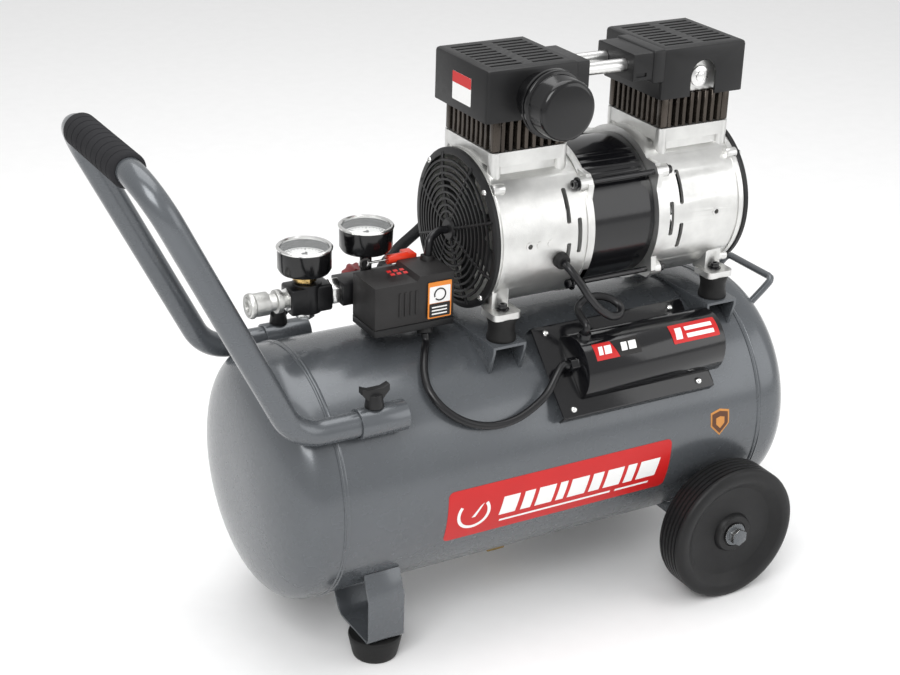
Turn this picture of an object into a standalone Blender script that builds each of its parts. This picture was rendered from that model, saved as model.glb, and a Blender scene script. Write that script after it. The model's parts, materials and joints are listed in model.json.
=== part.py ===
"""A portable twin-head oil-free air compressor on a 30 litre tank, with two wheels and a pull handle.

Metres, +Z up. The tank lies along X: the pull handle is at -X, the wheels at +X. The front, with the
pressure switch and the capacitor box, faces -Y. Shapes are written in the tank's own coordinates (x = 0 at
the middle of the tank, y = 0 on its centre plane, z = 0 on the floor) and hang under one empty, which puts
the middle of the whole length at x = 0.
"""

from math import cos, pi, radians, sin, sqrt, tan

import bmesh
import bpy
from mathutils import Matrix, Vector

GAP = 0.0003                # clearance between faces that seat on each other
OVERRUN = 0.010             # how far a cutter runs past the face that it cuts
END_RUN = 0.003             # straight stretch at each end of a cable
LEAD_OUT = 0.009            # how far a cable runs on before it bends

# Tank
TANK_R = 0.130
TANK_WALL = 0.003
TANK_CLEARANCE = 0.049      # under the tank
TANK_Z = TANK_R + TANK_CLEARANCE
TANK_TOP = TANK_Z + TANK_R
SEAM_X = 0.246              # weld between the shell and each dished head
SKIRT = 0.010               # straight stretch of a head past the weld
DISH = 0.052                # depth of the dished end
DISH_POWER = 2.6
LIP = 0.0010                # raised weld bead
LIP_W = 0.005
TANK_SEGMENTS = 36

# Feet, at the handle end
FOOT_X = -0.196
FOOT_Y = TANK_R - 0.037
FOOT_H = 0.0260
FOOT_TOP_R = 0.0275
FOOT_BASE_R = 0.0225
STRAP_W = 0.040
STRAP_T = 0.003

# Wheels
WHEEL_X = 0.196
WHEEL_R = 0.0758
WHEEL_W = 0.038
WHEEL_IN_Y = TANK_R + 0.004 # inner face
RIM_R = 0.060
DISC_RECESS = 0.010
HUB_R = 0.018
AXLE_R = 0.0060
AXLE_PLAY = 0.0005
WASHER_R = 0.0125
WASHER_T = 0.002
NUT_R = 0.0095
NUT_T = 0.008
CARRIER_W = 0.040
CARRIER_TOP = 0.024         # above the axle
CARRIER_FOOT = 0.017        # below the axle
CARRIER_T = 0.003
CARRIER_IN_Y = 0.040

# Pull handle
TUBE_R = 0.0125
TUBE_WALL = 0.0015
SOCKET_R = TUBE_R + 0.0025
SOCKET_ANGLE = radians(41)
SOCKET_X = (-0.227, -0.177)
TUBE_END_X = -0.182
BEND_X = -0.290
ARM_LENGTH = 0.295
ARM_LEAN = radians(26.7)
LOW_BEND_R = 0.045
TOP_BEND_R = 0.044
GRIP_R = TUBE_R + 0.0040
GRIP_HALF = 0.0650
KNOB_X = -0.209
KNOB_HUB_R = 0.0095
KNOB_H = 0.022
WING_SPAN = 0.029
WING_T = 0.008
STUD_R = 0.0040

# Carry handle on the wheel-end head
CARRY_R = 0.0040
CARRY_Y = 0.040
CARRY_REACH = 0.017         # crossbar, past the tank's end cap
CARRY_RISE = 0.123          # crossbar, above the tank axis
CARRY_LEG_RISE = 0.094
CARRY_BEND_R = 0.012

# Motor
MOTOR_X = 0.089
MOTOR_Z = TANK_TOP + 0.099
CASE_R = 0.080
CASE_WALL = 0.004
CASE_END = 0.147            # outer end of each crankcase, from the motor's middle
CAN_R = CASE_R - 0.006
CAN_HALF = 0.0385
ROTOR_R = 0.0370
ROTOR_PLAY = 0.0008
SHAFT_R = 0.0090
BEARING_FROM_CAN = 0.010
BEARING_W = 0.012
LUG_ANGLE = radians(39)
LUG_R = 0.0085
LUG_L = 0.014
LUG_OUT = 0.004
VENTS = ((0.0295, 0.018, 0.050), (0.0170, -0.014, 0.022), (0.0295, -0.030, -0.002))   # from the can: x, z, z
VENT_W = 0.0050
VENT_FROM_Y = 0.050
MOTOR_GLAND_X = -0.077      # from the motor's middle
MOTOR_GLAND_ANGLE = radians(-13)
CYL_OFFSET = 0.0985
DECK_HALF_X = 0.0435
DECK_HALF_Y = 0.0480
DECK_RISE = 0.090           # deck face, above the motor axis
DECK_T = 0.012
NECK_HALF = 0.0400
BORE_R = 0.0303
PISTON_R = 0.0300
PISTON_T = 0.008
HALF_STROKE = 0.008
ECCENTRIC_R = 0.019
ECCENTRIC_W = 0.012
FIN_H = 0.032
FIN_HALF_X = 0.0425
FIN_HALF_Y = 0.0470
FIN_COUNT = 5
FIN_DEPTH = 0.005
GUARD_R = CASE_R + 0.002
GUARD_W = 0.0055
GUARD_DOME = 0.010
GUARD_RINGS = 2
GUARD_SPOKES = 6
GUARD_BAR = 0.0028
GUARD_HUB_R = 0.012
FAN_R = CASE_R - 0.012
FAN_W = 0.016
FAN_BLADES = 6
FAN_HUB_R = 0.020

# Cylinder head covers
COVER_OFFSET = 0.1012
COVER_HALF_X = 0.0515
COVER_HALF_Y = 0.0523
COVER_H = 0.052
COVER_WALL = 0.0025
COVER_ROUND = 0.004
SLOT_COUNT = 9
SLOT_W = 0.0042
SLOT_PITCH = 0.0094
SLOT_LENGTH = 0.035
SLOT_BANK_X = 0.0235
HEAD_HALF = 0.0430
WINDOW_HALF = 0.0155
WINDOW_SPRING = 0.021       # where its arch begins, above the cover's open edge
PORT_Z = 0.036              # manifold pipes, above the covers' open edge
PORT_BLOCK_H = 0.028
RIGHT_BLOCK = 0.034
LEFT_BLOCK = 0.013
PIPE_R = 0.0065
PIPE_Y = (-0.033, 0.001)
PORT_BLOCK_Y = (-0.050, 0.014)
FILTER_X = 0.0042           # from the middle of the left cover
FILTER_Z = 0.022
FILTER_R = 0.030
FILTER_RING_R = 0.034
FILTER_NECK_R = 0.026
FILTER_OUT = 0.058

# Motor feet
MOUNT_MID_X = 0.083
MOUNT_HALF_X = 0.1305
MOUNT_Y = 0.070
MOUNT_R = 0.0150
MOUNT_H = 0.024
MOUNT_FOOT_T = 0.0065
FOOT_HALF_X = 0.016
FOOT_Y_SPAN = (-0.017, 0.013)       # inwards and outwards of the mount
COLUMN_HALF_X = 0.010
COLUMN_Y_SPAN = (-0.026, -0.004)
COLUMN_TOP = 0.030          # below the motor axis
BRACKET_T = 0.003
BRACKET_W = 0.038
BRACKET_HALF_Y = 0.088
BRACKET_DROP = 0.033

# Air fittings
LINE_Y = 0.025
LINE_Z = TANK_TOP + 0.043
MANIFOLD_X = (-0.182, -0.100)
MANIFOLD_HALF_Y = 0.0145
MANIFOLD_HALF_Z = 0.0120
NIPPLE_X = -0.140
NIPPLE_R = 0.0100
REGULATOR_X = (-0.2380, -0.1930)
REGULATOR_HALF = 0.0140
GAUGE_R = 0.0280
GAUGE_H = 0.0290
GAUGE_WALL = 0.0020
GAUGE_FLOOR = 0.012
GAUGE_TOP = (TANK_TOP + 0.097, TANK_TOP + 0.109)
GAUGE_X = (-0.218, -0.151)
STEM_R = 0.0060
NEEDLE_LENGTH = 0.019
PIVOT_R = 0.0030
COUPLER_X = (-0.2795, -0.2385)
COUPLER_R = 0.0100
COUPLER_BORE = 0.0052
SLEEVE_R = 0.0128
SLEEVE_X = (-0.2790, -0.2585)
KNOB_RED_R = 0.0135
KNOB_RED_X = -0.150
VALVE_Y = 0.0086
VALVE_Z = LINE_Z + 0.031
VALVE_X = (-0.1460, -0.1130)
VALVE_R = 0.0048

# Pressure switch
SWITCH_X = (-0.1760, -0.0890)
SWITCH_Y = (-0.0450, 0.0030)
SWITCH_Z = (TANK_TOP + 0.018, TANK_TOP + 0.074)
SWITCH_STEP_X = -0.1270
SWITCH_STEP = 0.0050
SWITCH_BASE_H = 0.007
SWITCH_WALL = 0.0025

# Capacitor box on the tank's upper front
BOX_ANGLE = radians(45)
PLATE_X = (-0.008, 0.178)
PLATE_HALF = 0.050
PLATE_T = 0.002
BOX_COVER_X = (0.0190, 0.1880)
BOX_COVER_R = 0.0340
CAP_R = 0.0155
CAP_INSET = 0.012
SHELL_T = 0.0020
PLATE_RISE = 0.006          # plate above the tank's surface, at its middle
LEAD_IN_X = 0.030           # where the motor cable enters the cover
LEAD_IN_ANGLE = radians(52)

# Cables and the air line
SUPPLY_LEAD_R = 0.0040
MOTOR_LEAD_R = 0.0040
SENSOR_LEAD_R = 0.0040
HOSE_R = 0.0060
GLAND_R = 0.0080

# Extremes of the whole length
DISH_END = SEAM_X + SKIRT + DISH
CROSSBAR_X = BEND_X - ARM_LENGTH * sin(ARM_LEAN)
CROSSBAR_DZ = ARM_LENGTH * cos(ARM_LEAN)
CARRY_X = DISH_END + CARRY_REACH - CARRY_R
X_SHIFT = -(CROSSBAR_X - GRIP_R + CARRY_X + CARRY_R) / 2

# Places that follow from the values above
SOCKET_REACH = TANK_R + SOCKET_R + GAP
SOCKET_Y = SOCKET_REACH * cos(SOCKET_ANGLE)
SOCKET_Z = TANK_Z + SOCKET_REACH * sin(SOCKET_ANGLE)
PLATE_Z = TANK_TOP + GAP + BRACKET_T
COVER_Z = MOTOR_Z + DECK_RISE + FIN_H
FOOT_LUG_Z = PLATE_Z + MOUNT_H + 2 * GAP
LEFT, RIGHT, FRONT, BACK = -1, 1, -1, 1

FINISHES = {
    "tank_paint": ((0.150, 0.165, 0.180), 0.35, 0.30),
    "cast_alloy": ((0.560, 0.560, 0.545), 0.90, 0.42),
    "bright_metal": ((0.640, 0.640, 0.640), 1.00, 0.22),
    "fin_metal": ((0.075, 0.062, 0.050), 0.80, 0.38),
    "black_plastic": ((0.014, 0.014, 0.015), 0.00, 0.50),
    "gloss_black": ((0.008, 0.008, 0.009), 0.00, 0.16),
    "switch_plastic": ((0.024, 0.024, 0.025), 0.00, 0.48),
    "rubber": ((0.017, 0.017, 0.017), 0.00, 0.75),
    "foam": ((0.020, 0.020, 0.022), 0.00, 0.85),
    "brass": ((0.520, 0.360, 0.120), 1.00, 0.32),
    "red_plastic": ((0.260, 0.010, 0.010), 0.00, 0.40),
    "orange_plastic": ((0.700, 0.060, 0.015), 0.00, 0.38),
}


# ---------------------------------------------------------------- shapes

def block(low, high, rounding=0.0, edges_along=None, steps=2):
    """A box between two corners. rounding bevels its edges, or only those along one axis."""
    bm = bmesh.new()
    bmesh.ops.create_cube(bm, size=1.0)
    low, high = Vector(low), Vector(high)
    for vert in bm.verts:
        vert.co = Vector(low[i] + (vert.co[i] + 0.5) * (high[i] - low[i]) for i in range(3))
    if rounding:
        def chosen(edge):
            run = edge.verts[1].co - edge.verts[0].co
            return edges_along is None or abs(run.normalized()["XYZ".index(edges_along)]) > 0.9
        edges = [edge for edge in bm.edges if chosen(edge)]
        bmesh.ops.bevel(bm, geom=edges, offset=rounding, segments=steps, profile=0.5, affect="EDGES")
    return bm


def rod(start, end, radius, segments=24, end_radius=None):
    """A cylinder, or a cone when end_radius is given, between two points."""
    start, end = Vector(start), Vector(end)
    bm = bmesh.new()
    far = radius if end_radius is None else end_radius
    bmesh.ops.create_cone(bm, cap_ends=True, segments=segments, radius1=radius, radius2=far,
                          depth=(end - start).length)
    turn = Vector((0, 0, 1)).rotation_difference(end - start).to_matrix().to_4x4()
    bmesh.ops.transform(bm, matrix=Matrix.Translation((start + end) / 2) @ turn, verts=bm.verts)
    return bm


def turned(profile, origin, axis, segments=32, closed=False):
    """A solid of revolution. profile lists (radius, distance along the axis); closed makes it a ring."""
    axis = Vector(axis).normalized()
    side = axis.orthogonal().normalized()
    origin = Vector(origin)
    bm = bmesh.new()
    points = [bm.verts.new(origin + side * radius + axis * along) for radius, along in profile]
    edges = [bm.edges.new(pair) for pair in zip(points, points[1:])]
    if closed:
        edges.append(bm.edges.new((points[-1], points[0])))
    bmesh.ops.spin(bm, geom=points + edges, cent=origin, axis=axis, angle=2 * pi, steps=segments,
                   use_merge=True, use_duplicate=False)
    bmesh.ops.remove_doubles(bm, verts=bm.verts, dist=1e-6)
    return outward(bm)


def prism(outline, axis, start, end):
    """An outline pushed along an axis. Its points are the other two coordinates, in XYZ order."""
    index = "XYZ".index(axis)
    others = [i for i in range(3) if i != index]
    bm = bmesh.new()
    verts = []
    for point in outline:
        place = [0.0, 0.0, 0.0]
        place[index], place[others[0]], place[others[1]] = start, point[0], point[1]
        verts.append(bm.verts.new(place))
    face = bm.faces.new(verts)
    grown = bmesh.ops.extrude_face_region(bm, geom=[face])
    moved = [item for item in grown["geom"] if isinstance(item, bmesh.types.BMVert)]
    step = Vector((0, 0, 0))
    step[index] = end - start
    bmesh.ops.translate(bm, verts=moved, vec=step)
    return outward(bm)


def outward(bm):
    """The same mesh with its faces pointing out."""
    bmesh.ops.recalc_face_normals(bm, faces=bm.faces)
    if bm.calc_volume(signed=True) < 0:
        bmesh.ops.reverse_faces(bm, faces=bm.faces)
    return bm


def pipe(route, radius, sides=12, bore=0.0):
    """A rod along a route, or a tube open at both ends when bore is given."""
    route = [Vector(point) for point in route]
    bm = bmesh.new()
    tangents = []
    for i in range(len(route)):
        ahead = route[min(i + 1, len(route) - 1)]
        behind = route[max(i - 1, 0)]
        tangents.append((ahead - behind).normalized())
    side = tangents[0].orthogonal().normalized()
    walls = {wall: [] for wall in ((radius, bore) if bore else (radius,))}
    for point, tangent in zip(route, tangents):
        side = (side - tangent * side.dot(tangent)).normalized()
        other = tangent.cross(side)
        for wall, rings in walls.items():
            rings.append([bm.verts.new(point + wall * (cos(a) * side + sin(a) * other))
                          for a in (2 * pi * k / sides for k in range(sides))])
    for rings in walls.values():
        for first, second in zip(rings, rings[1:]):
            for k in range(sides):
                n = (k + 1) % sides
                bm.faces.new((first[k], first[n], second[n], second[k]))
    for end in (0, -1):
        if bore:
            outer, inner = walls[radius][end], walls[bore][end]
            for k in range(sides):
                n = (k + 1) % sides
                bm.faces.new((outer[k], outer[n], inner[n], inner[k]))
        else:
            bm.faces.new(walls[radius][end])
    return outward(bm)


def filleted(corners, radii, step=radians(18)):
    """A route through the corners, with an arc of the given radius at each inner corner."""
    corners = [Vector(corner) for corner in corners]
    route = [corners[0]]
    for before, corner, after, radius in zip(corners, corners[1:], corners[2:], radii):
        back, ahead = (before - corner).normalized(), (after - corner).normalized()
        turn = pi - back.angle(ahead)
        centre = corner + (back + ahead).normalized() * radius / cos(turn / 2)
        start = corner + back * radius * tan(turn / 2)
        arm = start - centre
        axis = arm.cross(corner + ahead * radius * tan(turn / 2) - centre).normalized()
        steps = max(2, round(turn / step))
        route += [centre + Matrix.Rotation(turn * k / steps, 3, axis) @ arm for k in range(steps + 1)]
    return route + [corners[-1]]


def smooth(points, spacing):
    """Points a set distance apart on a Catmull-Rom curve through the given ones, square to both ends."""
    points = [Vector(point) for point in points]
    padded = [2 * points[0] - points[1]] + points + [2 * points[-1] - points[-2]]
    fine = []
    for p0, p1, p2, p3 in zip(padded, padded[1:], padded[2:], padded[3:]):
        for k in range(24):
            t = k / 24
            fine.append(0.5 * (2 * p1 + (p2 - p0) * t + (2 * p0 - 5 * p1 + 4 * p2 - p3) * t * t
                               + (3 * p1 - p0 - 3 * p2 + p3) * t ** 3))
    fine.append(points[-1])
    length = sum((b - a).length for a, b in zip(fine, fine[1:]))
    step = length / max(1, round(length / spacing))
    route, run = [fine[0]], 0.0
    for a, b in zip(fine, fine[1:]):
        run += (b - a).length
        if run >= step * len(route) - 1e-9:
            route.append(b)
    start = points[0] + (points[1] - points[0]).normalized() * END_RUN
    end = points[-1] + (points[-2] - points[-1]).normalized() * END_RUN
    return [points[0], start] + route[1:-1] + [end, points[-1]]


# ---------------------------------------------------------------- objects

def material(name):
    """The Principled material of one finish, made once."""
    if name in bpy.data.materials:
        return bpy.data.materials[name]
    colour, metallic, roughness = FINISHES[name]
    made = bpy.data.materials.new(name)
    made.use_nodes = True
    shader = made.node_tree.nodes["Principled BSDF"]
    shader.inputs["Base Color"].default_value = (*colour, 1.0)
    shader.inputs["Metallic"].default_value = metallic
    shader.inputs["Roughness"].default_value = roughness
    made.diffuse_color = (*colour, 1.0)
    return made


def as_object(name, bm):
    """A helper object that holds a mesh."""
    mesh = bpy.data.meshes.new(name)
    bm.to_mesh(mesh)
    bm.free()
    made = bpy.data.objects.new(name, mesh)
    bpy.context.scene.collection.objects.link(made)
    return made


def combine(base, add=(), cut=(), solver="EXACT"):
    """The union of base and add, less each cutter, as one mesh."""
    body = as_object("work", base)
    helpers = []
    for operation, shapes in (("UNION", add), ("DIFFERENCE", cut)):
        for shape in shapes:
            helper = as_object("helper", shape)
            helpers.append(helper)
            step = body.modifiers.new(operation.title(), "BOOLEAN")
            step.operation = operation
            step.solver = solver
            step.object = helper
    bpy.context.view_layer.update()
    graph = bpy.context.evaluated_depsgraph_get()
    mesh = bpy.data.meshes.new_from_object(body.evaluated_get(graph))
    result = bmesh.new()
    result.from_mesh(mesh)
    bpy.data.meshes.remove(mesh)
    for used in [body] + helpers:
        spent = used.data
        bpy.data.objects.remove(used)
        bpy.data.meshes.remove(spent)
    bmesh.ops.remove_doubles(result, verts=result.verts, dist=1e-7)
    bmesh.ops.dissolve_limit(result, angle_limit=radians(0.2), verts=result.verts, edges=result.edges)
    return result


def put(name, finish, bm, pivot=(0.0, 0.0, 0.0)):
    """One named sub-part, with its origin at pivot, under the compressor's empty."""
    bmesh.ops.translate(bm, verts=bm.verts, vec=-Vector(pivot))
    mesh = bpy.data.meshes.new(name)
    bm.to_mesh(mesh)
    bm.free()
    mesh.materials.append(material(finish))
    mesh.shade_smooth()
    mesh.set_sharp_from_angle(angle=radians(35))
    made = bpy.data.objects.new(name, mesh)
    made.location = pivot
    made.parent = bpy.data.objects["compressor"]
    bpy.context.scene.collection.objects.link(made)
    return made


def lead(name, route, radius, finish="rubber"):
    """A cable as a round curve with capped ends."""
    curve = bpy.data.curves.new(name, "CURVE")
    curve.dimensions = "3D"
    curve.bevel_depth = radius
    curve.bevel_resolution = 2
    curve.use_fill_caps = True
    spline = curve.splines.new("POLY")
    spline.points.add(len(route) - 1)
    for place, point in zip(spline.points, route):
        place.co = (*point, 1.0)
    curve.materials.append(material(finish))
    made = bpy.data.objects.new(name, curve)
    made.parent = bpy.data.objects["compressor"]
    bpy.context.scene.collection.objects.link(made)
    return made


# ---------------------------------------------------------------- tank and running gear

def dish_profile(radius, depth, steps):
    """(radius, distance) from the skirt of a head to its middle, on a superellipse."""
    angles = [pi / 2 * k / steps for k in range(steps + 1)]
    return [(radius * cos(a) ** (2 / DISH_POWER), depth * sin(a) ** (2 / DISH_POWER)) for a in angles[:-1]] \
        + [(0.0, depth)]


def tank_cutter():
    """The tank's outside, grown by the seat clearance, for shapes that are welded onto it."""
    reach = TANK_R + LIP + GAP
    ends = SEAM_X + SKIRT
    right = [(r, ends + d) for r, d in dish_profile(reach, DISH + GAP, 10)]
    left = [(r, -along) for r, along in reversed(right)]
    middle = [(reach, -SEAM_X + LIP_W + GAP), (TANK_R + GAP, -SEAM_X + LIP_W + GAP),
              (TANK_R + GAP, SEAM_X - LIP_W - GAP), (reach, SEAM_X - LIP_W - GAP)]
    return turned(left + middle + right, (0, 0, TANK_Z), (1, 0, 0), 2 * TANK_SEGMENTS)


def tank():
    """The welded pressure vessel: a rolled shell and two dished heads, with its ports."""
    ends = SEAM_X + SKIRT
    outer = [(r, ends + d) for r, d in dish_profile(TANK_R, DISH, 5)]
    lip = [(TANK_R, SEAM_X - LIP_W), (TANK_R + LIP, SEAM_X - LIP_W / 2), (TANK_R, SEAM_X)]
    right = lip + outer
    profile = [(r, -along) for r, along in reversed(right)] + right
    body = turned(profile, (0, 0, TANK_Z), (1, 0, 0), TANK_SEGMENTS)
    inner = [(r, ends + d) for r, d in dish_profile(TANK_R - TANK_WALL, DISH - TANK_WALL, 3)]
    hollow = turned([(r, -along) for r, along in reversed(inner)] + inner, (0, 0, TANK_Z), (1, 0, 0),
                    TANK_SEGMENTS)
    holes = [rod((NIPPLE_X, LINE_Y, TANK_Z), (NIPPLE_X, LINE_Y, TANK_TOP + OVERRUN), NIPPLE_R + GAP),
             rod((0, 0, TANK_Z), (0, 0, TANK_Z - TANK_R - OVERRUN), NIPPLE_R + GAP)]
    put("tank", "tank_paint", combine(body, cut=[hollow] + holes))


def drain_cock():
    """The screw-in condensate drain at the lowest point of the tank."""
    floor = TANK_Z - TANK_R
    body = rod((0, 0, floor + 0.008), (0, 0, floor - 0.006), NIPPLE_R)
    flange = rod((0, 0, floor - GAP), (0, 0, floor - 0.006), 0.0130, 6)
    stem = rod((0, 0, floor - 0.005), (0, 0, floor - 0.022), 0.0050, 16)
    wing = block((-0.011, -0.002, floor - 0.030), (0.011, 0.002, floor - 0.020), 0.0015, "Y")
    put("drain_cock", "brass", combine(body, add=[flange, stem, wing]))


def strap(points, half_width, thickness, x):
    """A bent flat bar: a line in the YZ plane given its thickness, and its width along X."""
    line = [Vector(point) for point in points]
    sides = {1: [], -1: []}
    for i, point in enumerate(line):
        ahead = (line[min(i + 1, len(line) - 1)] - point).normalized()
        behind = (point - line[max(i - 1, 0)]).normalized()
        run = (ahead + behind).normalized() if ahead.length and behind.length else (ahead + behind)
        normal = Vector((-run.y, run.x))
        flare = 1 / max(0.5, cos(run.angle(ahead) if ahead.length else 0.0))
        for side, row in sides.items():
            row.append(point + normal * side * thickness / 2 * flare)
    return prism(sides[1] + sides[-1][::-1], "X", x - half_width, x + half_width)


def foot(side, name):
    """A bent strap under the handle end of the tank, and its rubber foot."""
    sole = FOOT_H + GAP + STRAP_T / 2
    skin = sqrt(TANK_R ** 2 - (FOOT_Y + 0.013) ** 2)
    out, inner = FOOT_Y + 0.0235, FOOT_Y - 0.037
    line = [(-FOOT_Y - 0.005, TANK_Z - skin + 0.016), (-out, TANK_Z - 0.103), (-out, sole + 0.004),
            (-out + 0.004, sole), (-inner, sole), (-inner + 0.008, sole + 0.005),
            (-inner + 0.026, TANK_Z - TANK_R + 0.014)]
    line = [(side * -y, z) for y, z in line]
    bent = strap(line if side < 0 else line[::-1], STRAP_W / 2, STRAP_T, FOOT_X)
    put(f"foot_bracket_{name}", "tank_paint", combine(bent, cut=[tank_cutter()]))
    profile = [(0.0, 0.0), (FOOT_BASE_R, 0.0), (FOOT_BASE_R + 0.001, 0.002), (FOOT_TOP_R, FOOT_H - 0.004),
               (FOOT_TOP_R, FOOT_H), (0.0, FOOT_H)]
    put(f"rubber_foot_{name}", "rubber", turned(profile, (FOOT_X, side * FOOT_Y, 0), (0, 0, 1), 28))


def wheel_carrier(side, name):
    """A U-shaped bracket on the tank with the stub axle, its washer and its nut."""
    face = WHEEL_IN_Y - 0.004
    low, high = WHEEL_R - CARRIER_FOOT, WHEEL_R + CARRIER_TOP
    near, far = sorted((side * CARRIER_IN_Y, side * face))
    plate = block((WHEEL_X - CARRIER_W / 2, near, low), (WHEEL_X + CARRIER_W / 2, far, high), 0.004, "Z")
    inside = sorted((side * (CARRIER_IN_Y - OVERRUN), side * (face - CARRIER_T)))
    hollow = block((WHEEL_X - CARRIER_W / 2 + CARRIER_T, inside[0], low - OVERRUN),
                   (WHEEL_X + CARRIER_W / 2 - CARRIER_T, inside[1], high + OVERRUN))
    shell = combine(plate, cut=[hollow, tank_cutter()])
    outer = WHEEL_IN_Y + WHEEL_W
    hub_face = outer - 0.004
    axle = rod((WHEEL_X, side * (face - CARRIER_T - 0.010), WHEEL_R),
               (WHEEL_X, side * (outer + 0.002), WHEEL_R),
               AXLE_R, 20)
    backing = rod((WHEEL_X, side * (face - CARRIER_T - 0.008), WHEEL_R),
                  (WHEEL_X, side * (face - 0.001), WHEEL_R), NUT_R, 6)
    washer = rod((WHEEL_X, side * (hub_face + AXLE_PLAY), WHEEL_R),
                 (WHEEL_X, side * (hub_face + AXLE_PLAY + WASHER_T), WHEEL_R), WASHER_R)
    nut = rod((WHEEL_X, side * (hub_face + AXLE_PLAY + WASHER_T / 2), WHEEL_R),
              (WHEEL_X, side * (hub_face + AXLE_PLAY + WASHER_T + NUT_T), WHEEL_R), NUT_R, 6)
    put(f"wheel_carrier_{name}", "tank_paint", combine(shell, add=[axle, backing, washer, nut]))


def wheel(side, name):
    """A solid rubber wheel with a dished disc, turning on the stub axle."""
    bore = AXLE_R + AXLE_PLAY
    outer = WHEEL_W
    profile = [(bore, 0.0), (HUB_R, 0.0), (HUB_R, 0.008), (RIM_R, 0.008), (RIM_R, 0.001),
               (WHEEL_R - 0.006, 0.0), (WHEEL_R, 0.005), (WHEEL_R, outer - 0.005),
               (WHEEL_R - 0.006, outer), (RIM_R, outer - 0.001), (RIM_R - 0.003, outer - DISC_RECESS),
               (HUB_R + 0.004, outer - DISC_RECESS), (HUB_R, outer - 0.004), (bore, outer - 0.004)]
    body = turned(profile, (WHEEL_X, side * WHEEL_IN_Y, WHEEL_R), (0, side, 0), 26, closed=True)
    put(f"wheel_{name}", "rubber", body, (WHEEL_X, side * (WHEEL_IN_Y + WHEEL_W / 2), WHEEL_R))


# ---------------------------------------------------------------- handles

def handle_route():
    """The pull handle's centre line, from one open end round the crossbar to the other."""
    corners = []
    for side in (FRONT, BACK):
        arm = [(TUBE_END_X, side * SOCKET_Y, SOCKET_Z), (BEND_X, side * SOCKET_Y, SOCKET_Z),
               (CROSSBAR_X, side * SOCKET_Y, SOCKET_Z + CROSSBAR_DZ)]
        corners += arm if side == FRONT else arm[::-1]
    return filleted(corners, (LOW_BEND_R, TOP_BEND_R, TOP_BEND_R, LOW_BEND_R))


def pull_handle():
    """The bent tube and the foam grip on its crossbar."""
    put("handle_tube", "tank_paint", pipe(handle_route(), TUBE_R, 12, TUBE_R - TUBE_WALL))
    bar = (CROSSBAR_X, 0, SOCKET_Z + CROSSBAR_DZ)
    bore = TUBE_R + GAP
    profile = [(bore, -GRIP_HALF), (GRIP_R - 0.0015, -GRIP_HALF), (GRIP_R, -GRIP_HALF + 0.003),
               (GRIP_R, GRIP_HALF - 0.003), (GRIP_R - 0.0015, GRIP_HALF), (bore, GRIP_HALF)]
    put("handle_grip", "foam", turned(profile, bar, (0, 1, 0), 20, closed=True))


def handle_socket(side, name):
    """The short tube welded on the tank's shoulder, with a tapped hole for its clamp knob."""
    y = side * SOCKET_Y
    bore = TUBE_R + GAP
    profile = [(bore, 0.0), (SOCKET_R, 0.0), (SOCKET_R, SOCKET_X[1] - SOCKET_X[0]),
               (bore, SOCKET_X[1] - SOCKET_X[0])]
    sleeve = turned(profile, (SOCKET_X[0], y, SOCKET_Z), (1, 0, 0), 20, closed=True)
    hole = rod((KNOB_X, y, SOCKET_Z), (KNOB_X, y, SOCKET_Z + SOCKET_R + OVERRUN), STUD_R + GAP, 16)
    put(f"handle_socket_{name}", "tank_paint", combine(sleeve, cut=[hole]))


def clamp_knob(side, name):
    """A winged knob whose stud presses on the handle tube."""
    y = side * SOCKET_Y
    seat = SOCKET_Z + SOCKET_R + GAP
    stud = rod((KNOB_X, y, SOCKET_Z + TUBE_R + GAP), (KNOB_X, y, seat + 0.002), STUD_R, 16)
    hub = rod((KNOB_X, y, seat), (KNOB_X, y, seat + KNOB_H * 0.6), KNOB_HUB_R, 20, KNOB_HUB_R * 0.8)
    outline = [(-WING_SPAN / 2, seat + KNOB_H), (-WING_SPAN / 2, seat + KNOB_H * 0.72),
               (-KNOB_HUB_R * 0.7, seat + KNOB_H * 0.3), (KNOB_HUB_R * 0.7, seat + KNOB_H * 0.3),
               (WING_SPAN / 2, seat + KNOB_H * 0.72), (WING_SPAN / 2, seat + KNOB_H),
               (WING_SPAN / 4, seat + KNOB_H * 0.86), (-WING_SPAN / 4, seat + KNOB_H * 0.86)]
    wings = prism([(KNOB_X + x, z) for x, z in outline], "Y", y - WING_T / 2, y + WING_T / 2)
    put(f"clamp_knob_{name}", "black_plastic", combine(hub, add=[stud, wings]),
        (KNOB_X, y, SOCKET_Z + SOCKET_R))


def carry_handle():
    """The bent rod welded on the wheel-end head."""
    foot_z, bar_z = TANK_Z + CARRY_LEG_RISE, TANK_Z + CARRY_RISE
    inside = DISH_END - 0.028
    corners = []
    for side in (FRONT, BACK):
        leg = [(inside, side * CARRY_Y, foot_z - 0.006), (DISH_END + 0.001, side * CARRY_Y, foot_z + 0.018),
               (CARRY_X, side * CARRY_Y, bar_z)]
        corners += leg if side == FRONT else leg[::-1]
    route = filleted(corners, (CARRY_BEND_R, CARRY_BEND_R / 2, CARRY_BEND_R / 2, CARRY_BEND_R), radians(20))
    put("carry_handle", "tank_paint", combine(pipe(route, CARRY_R, 8), cut=[tank_cutter()]))


# ---------------------------------------------------------------- motor and pump heads

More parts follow.
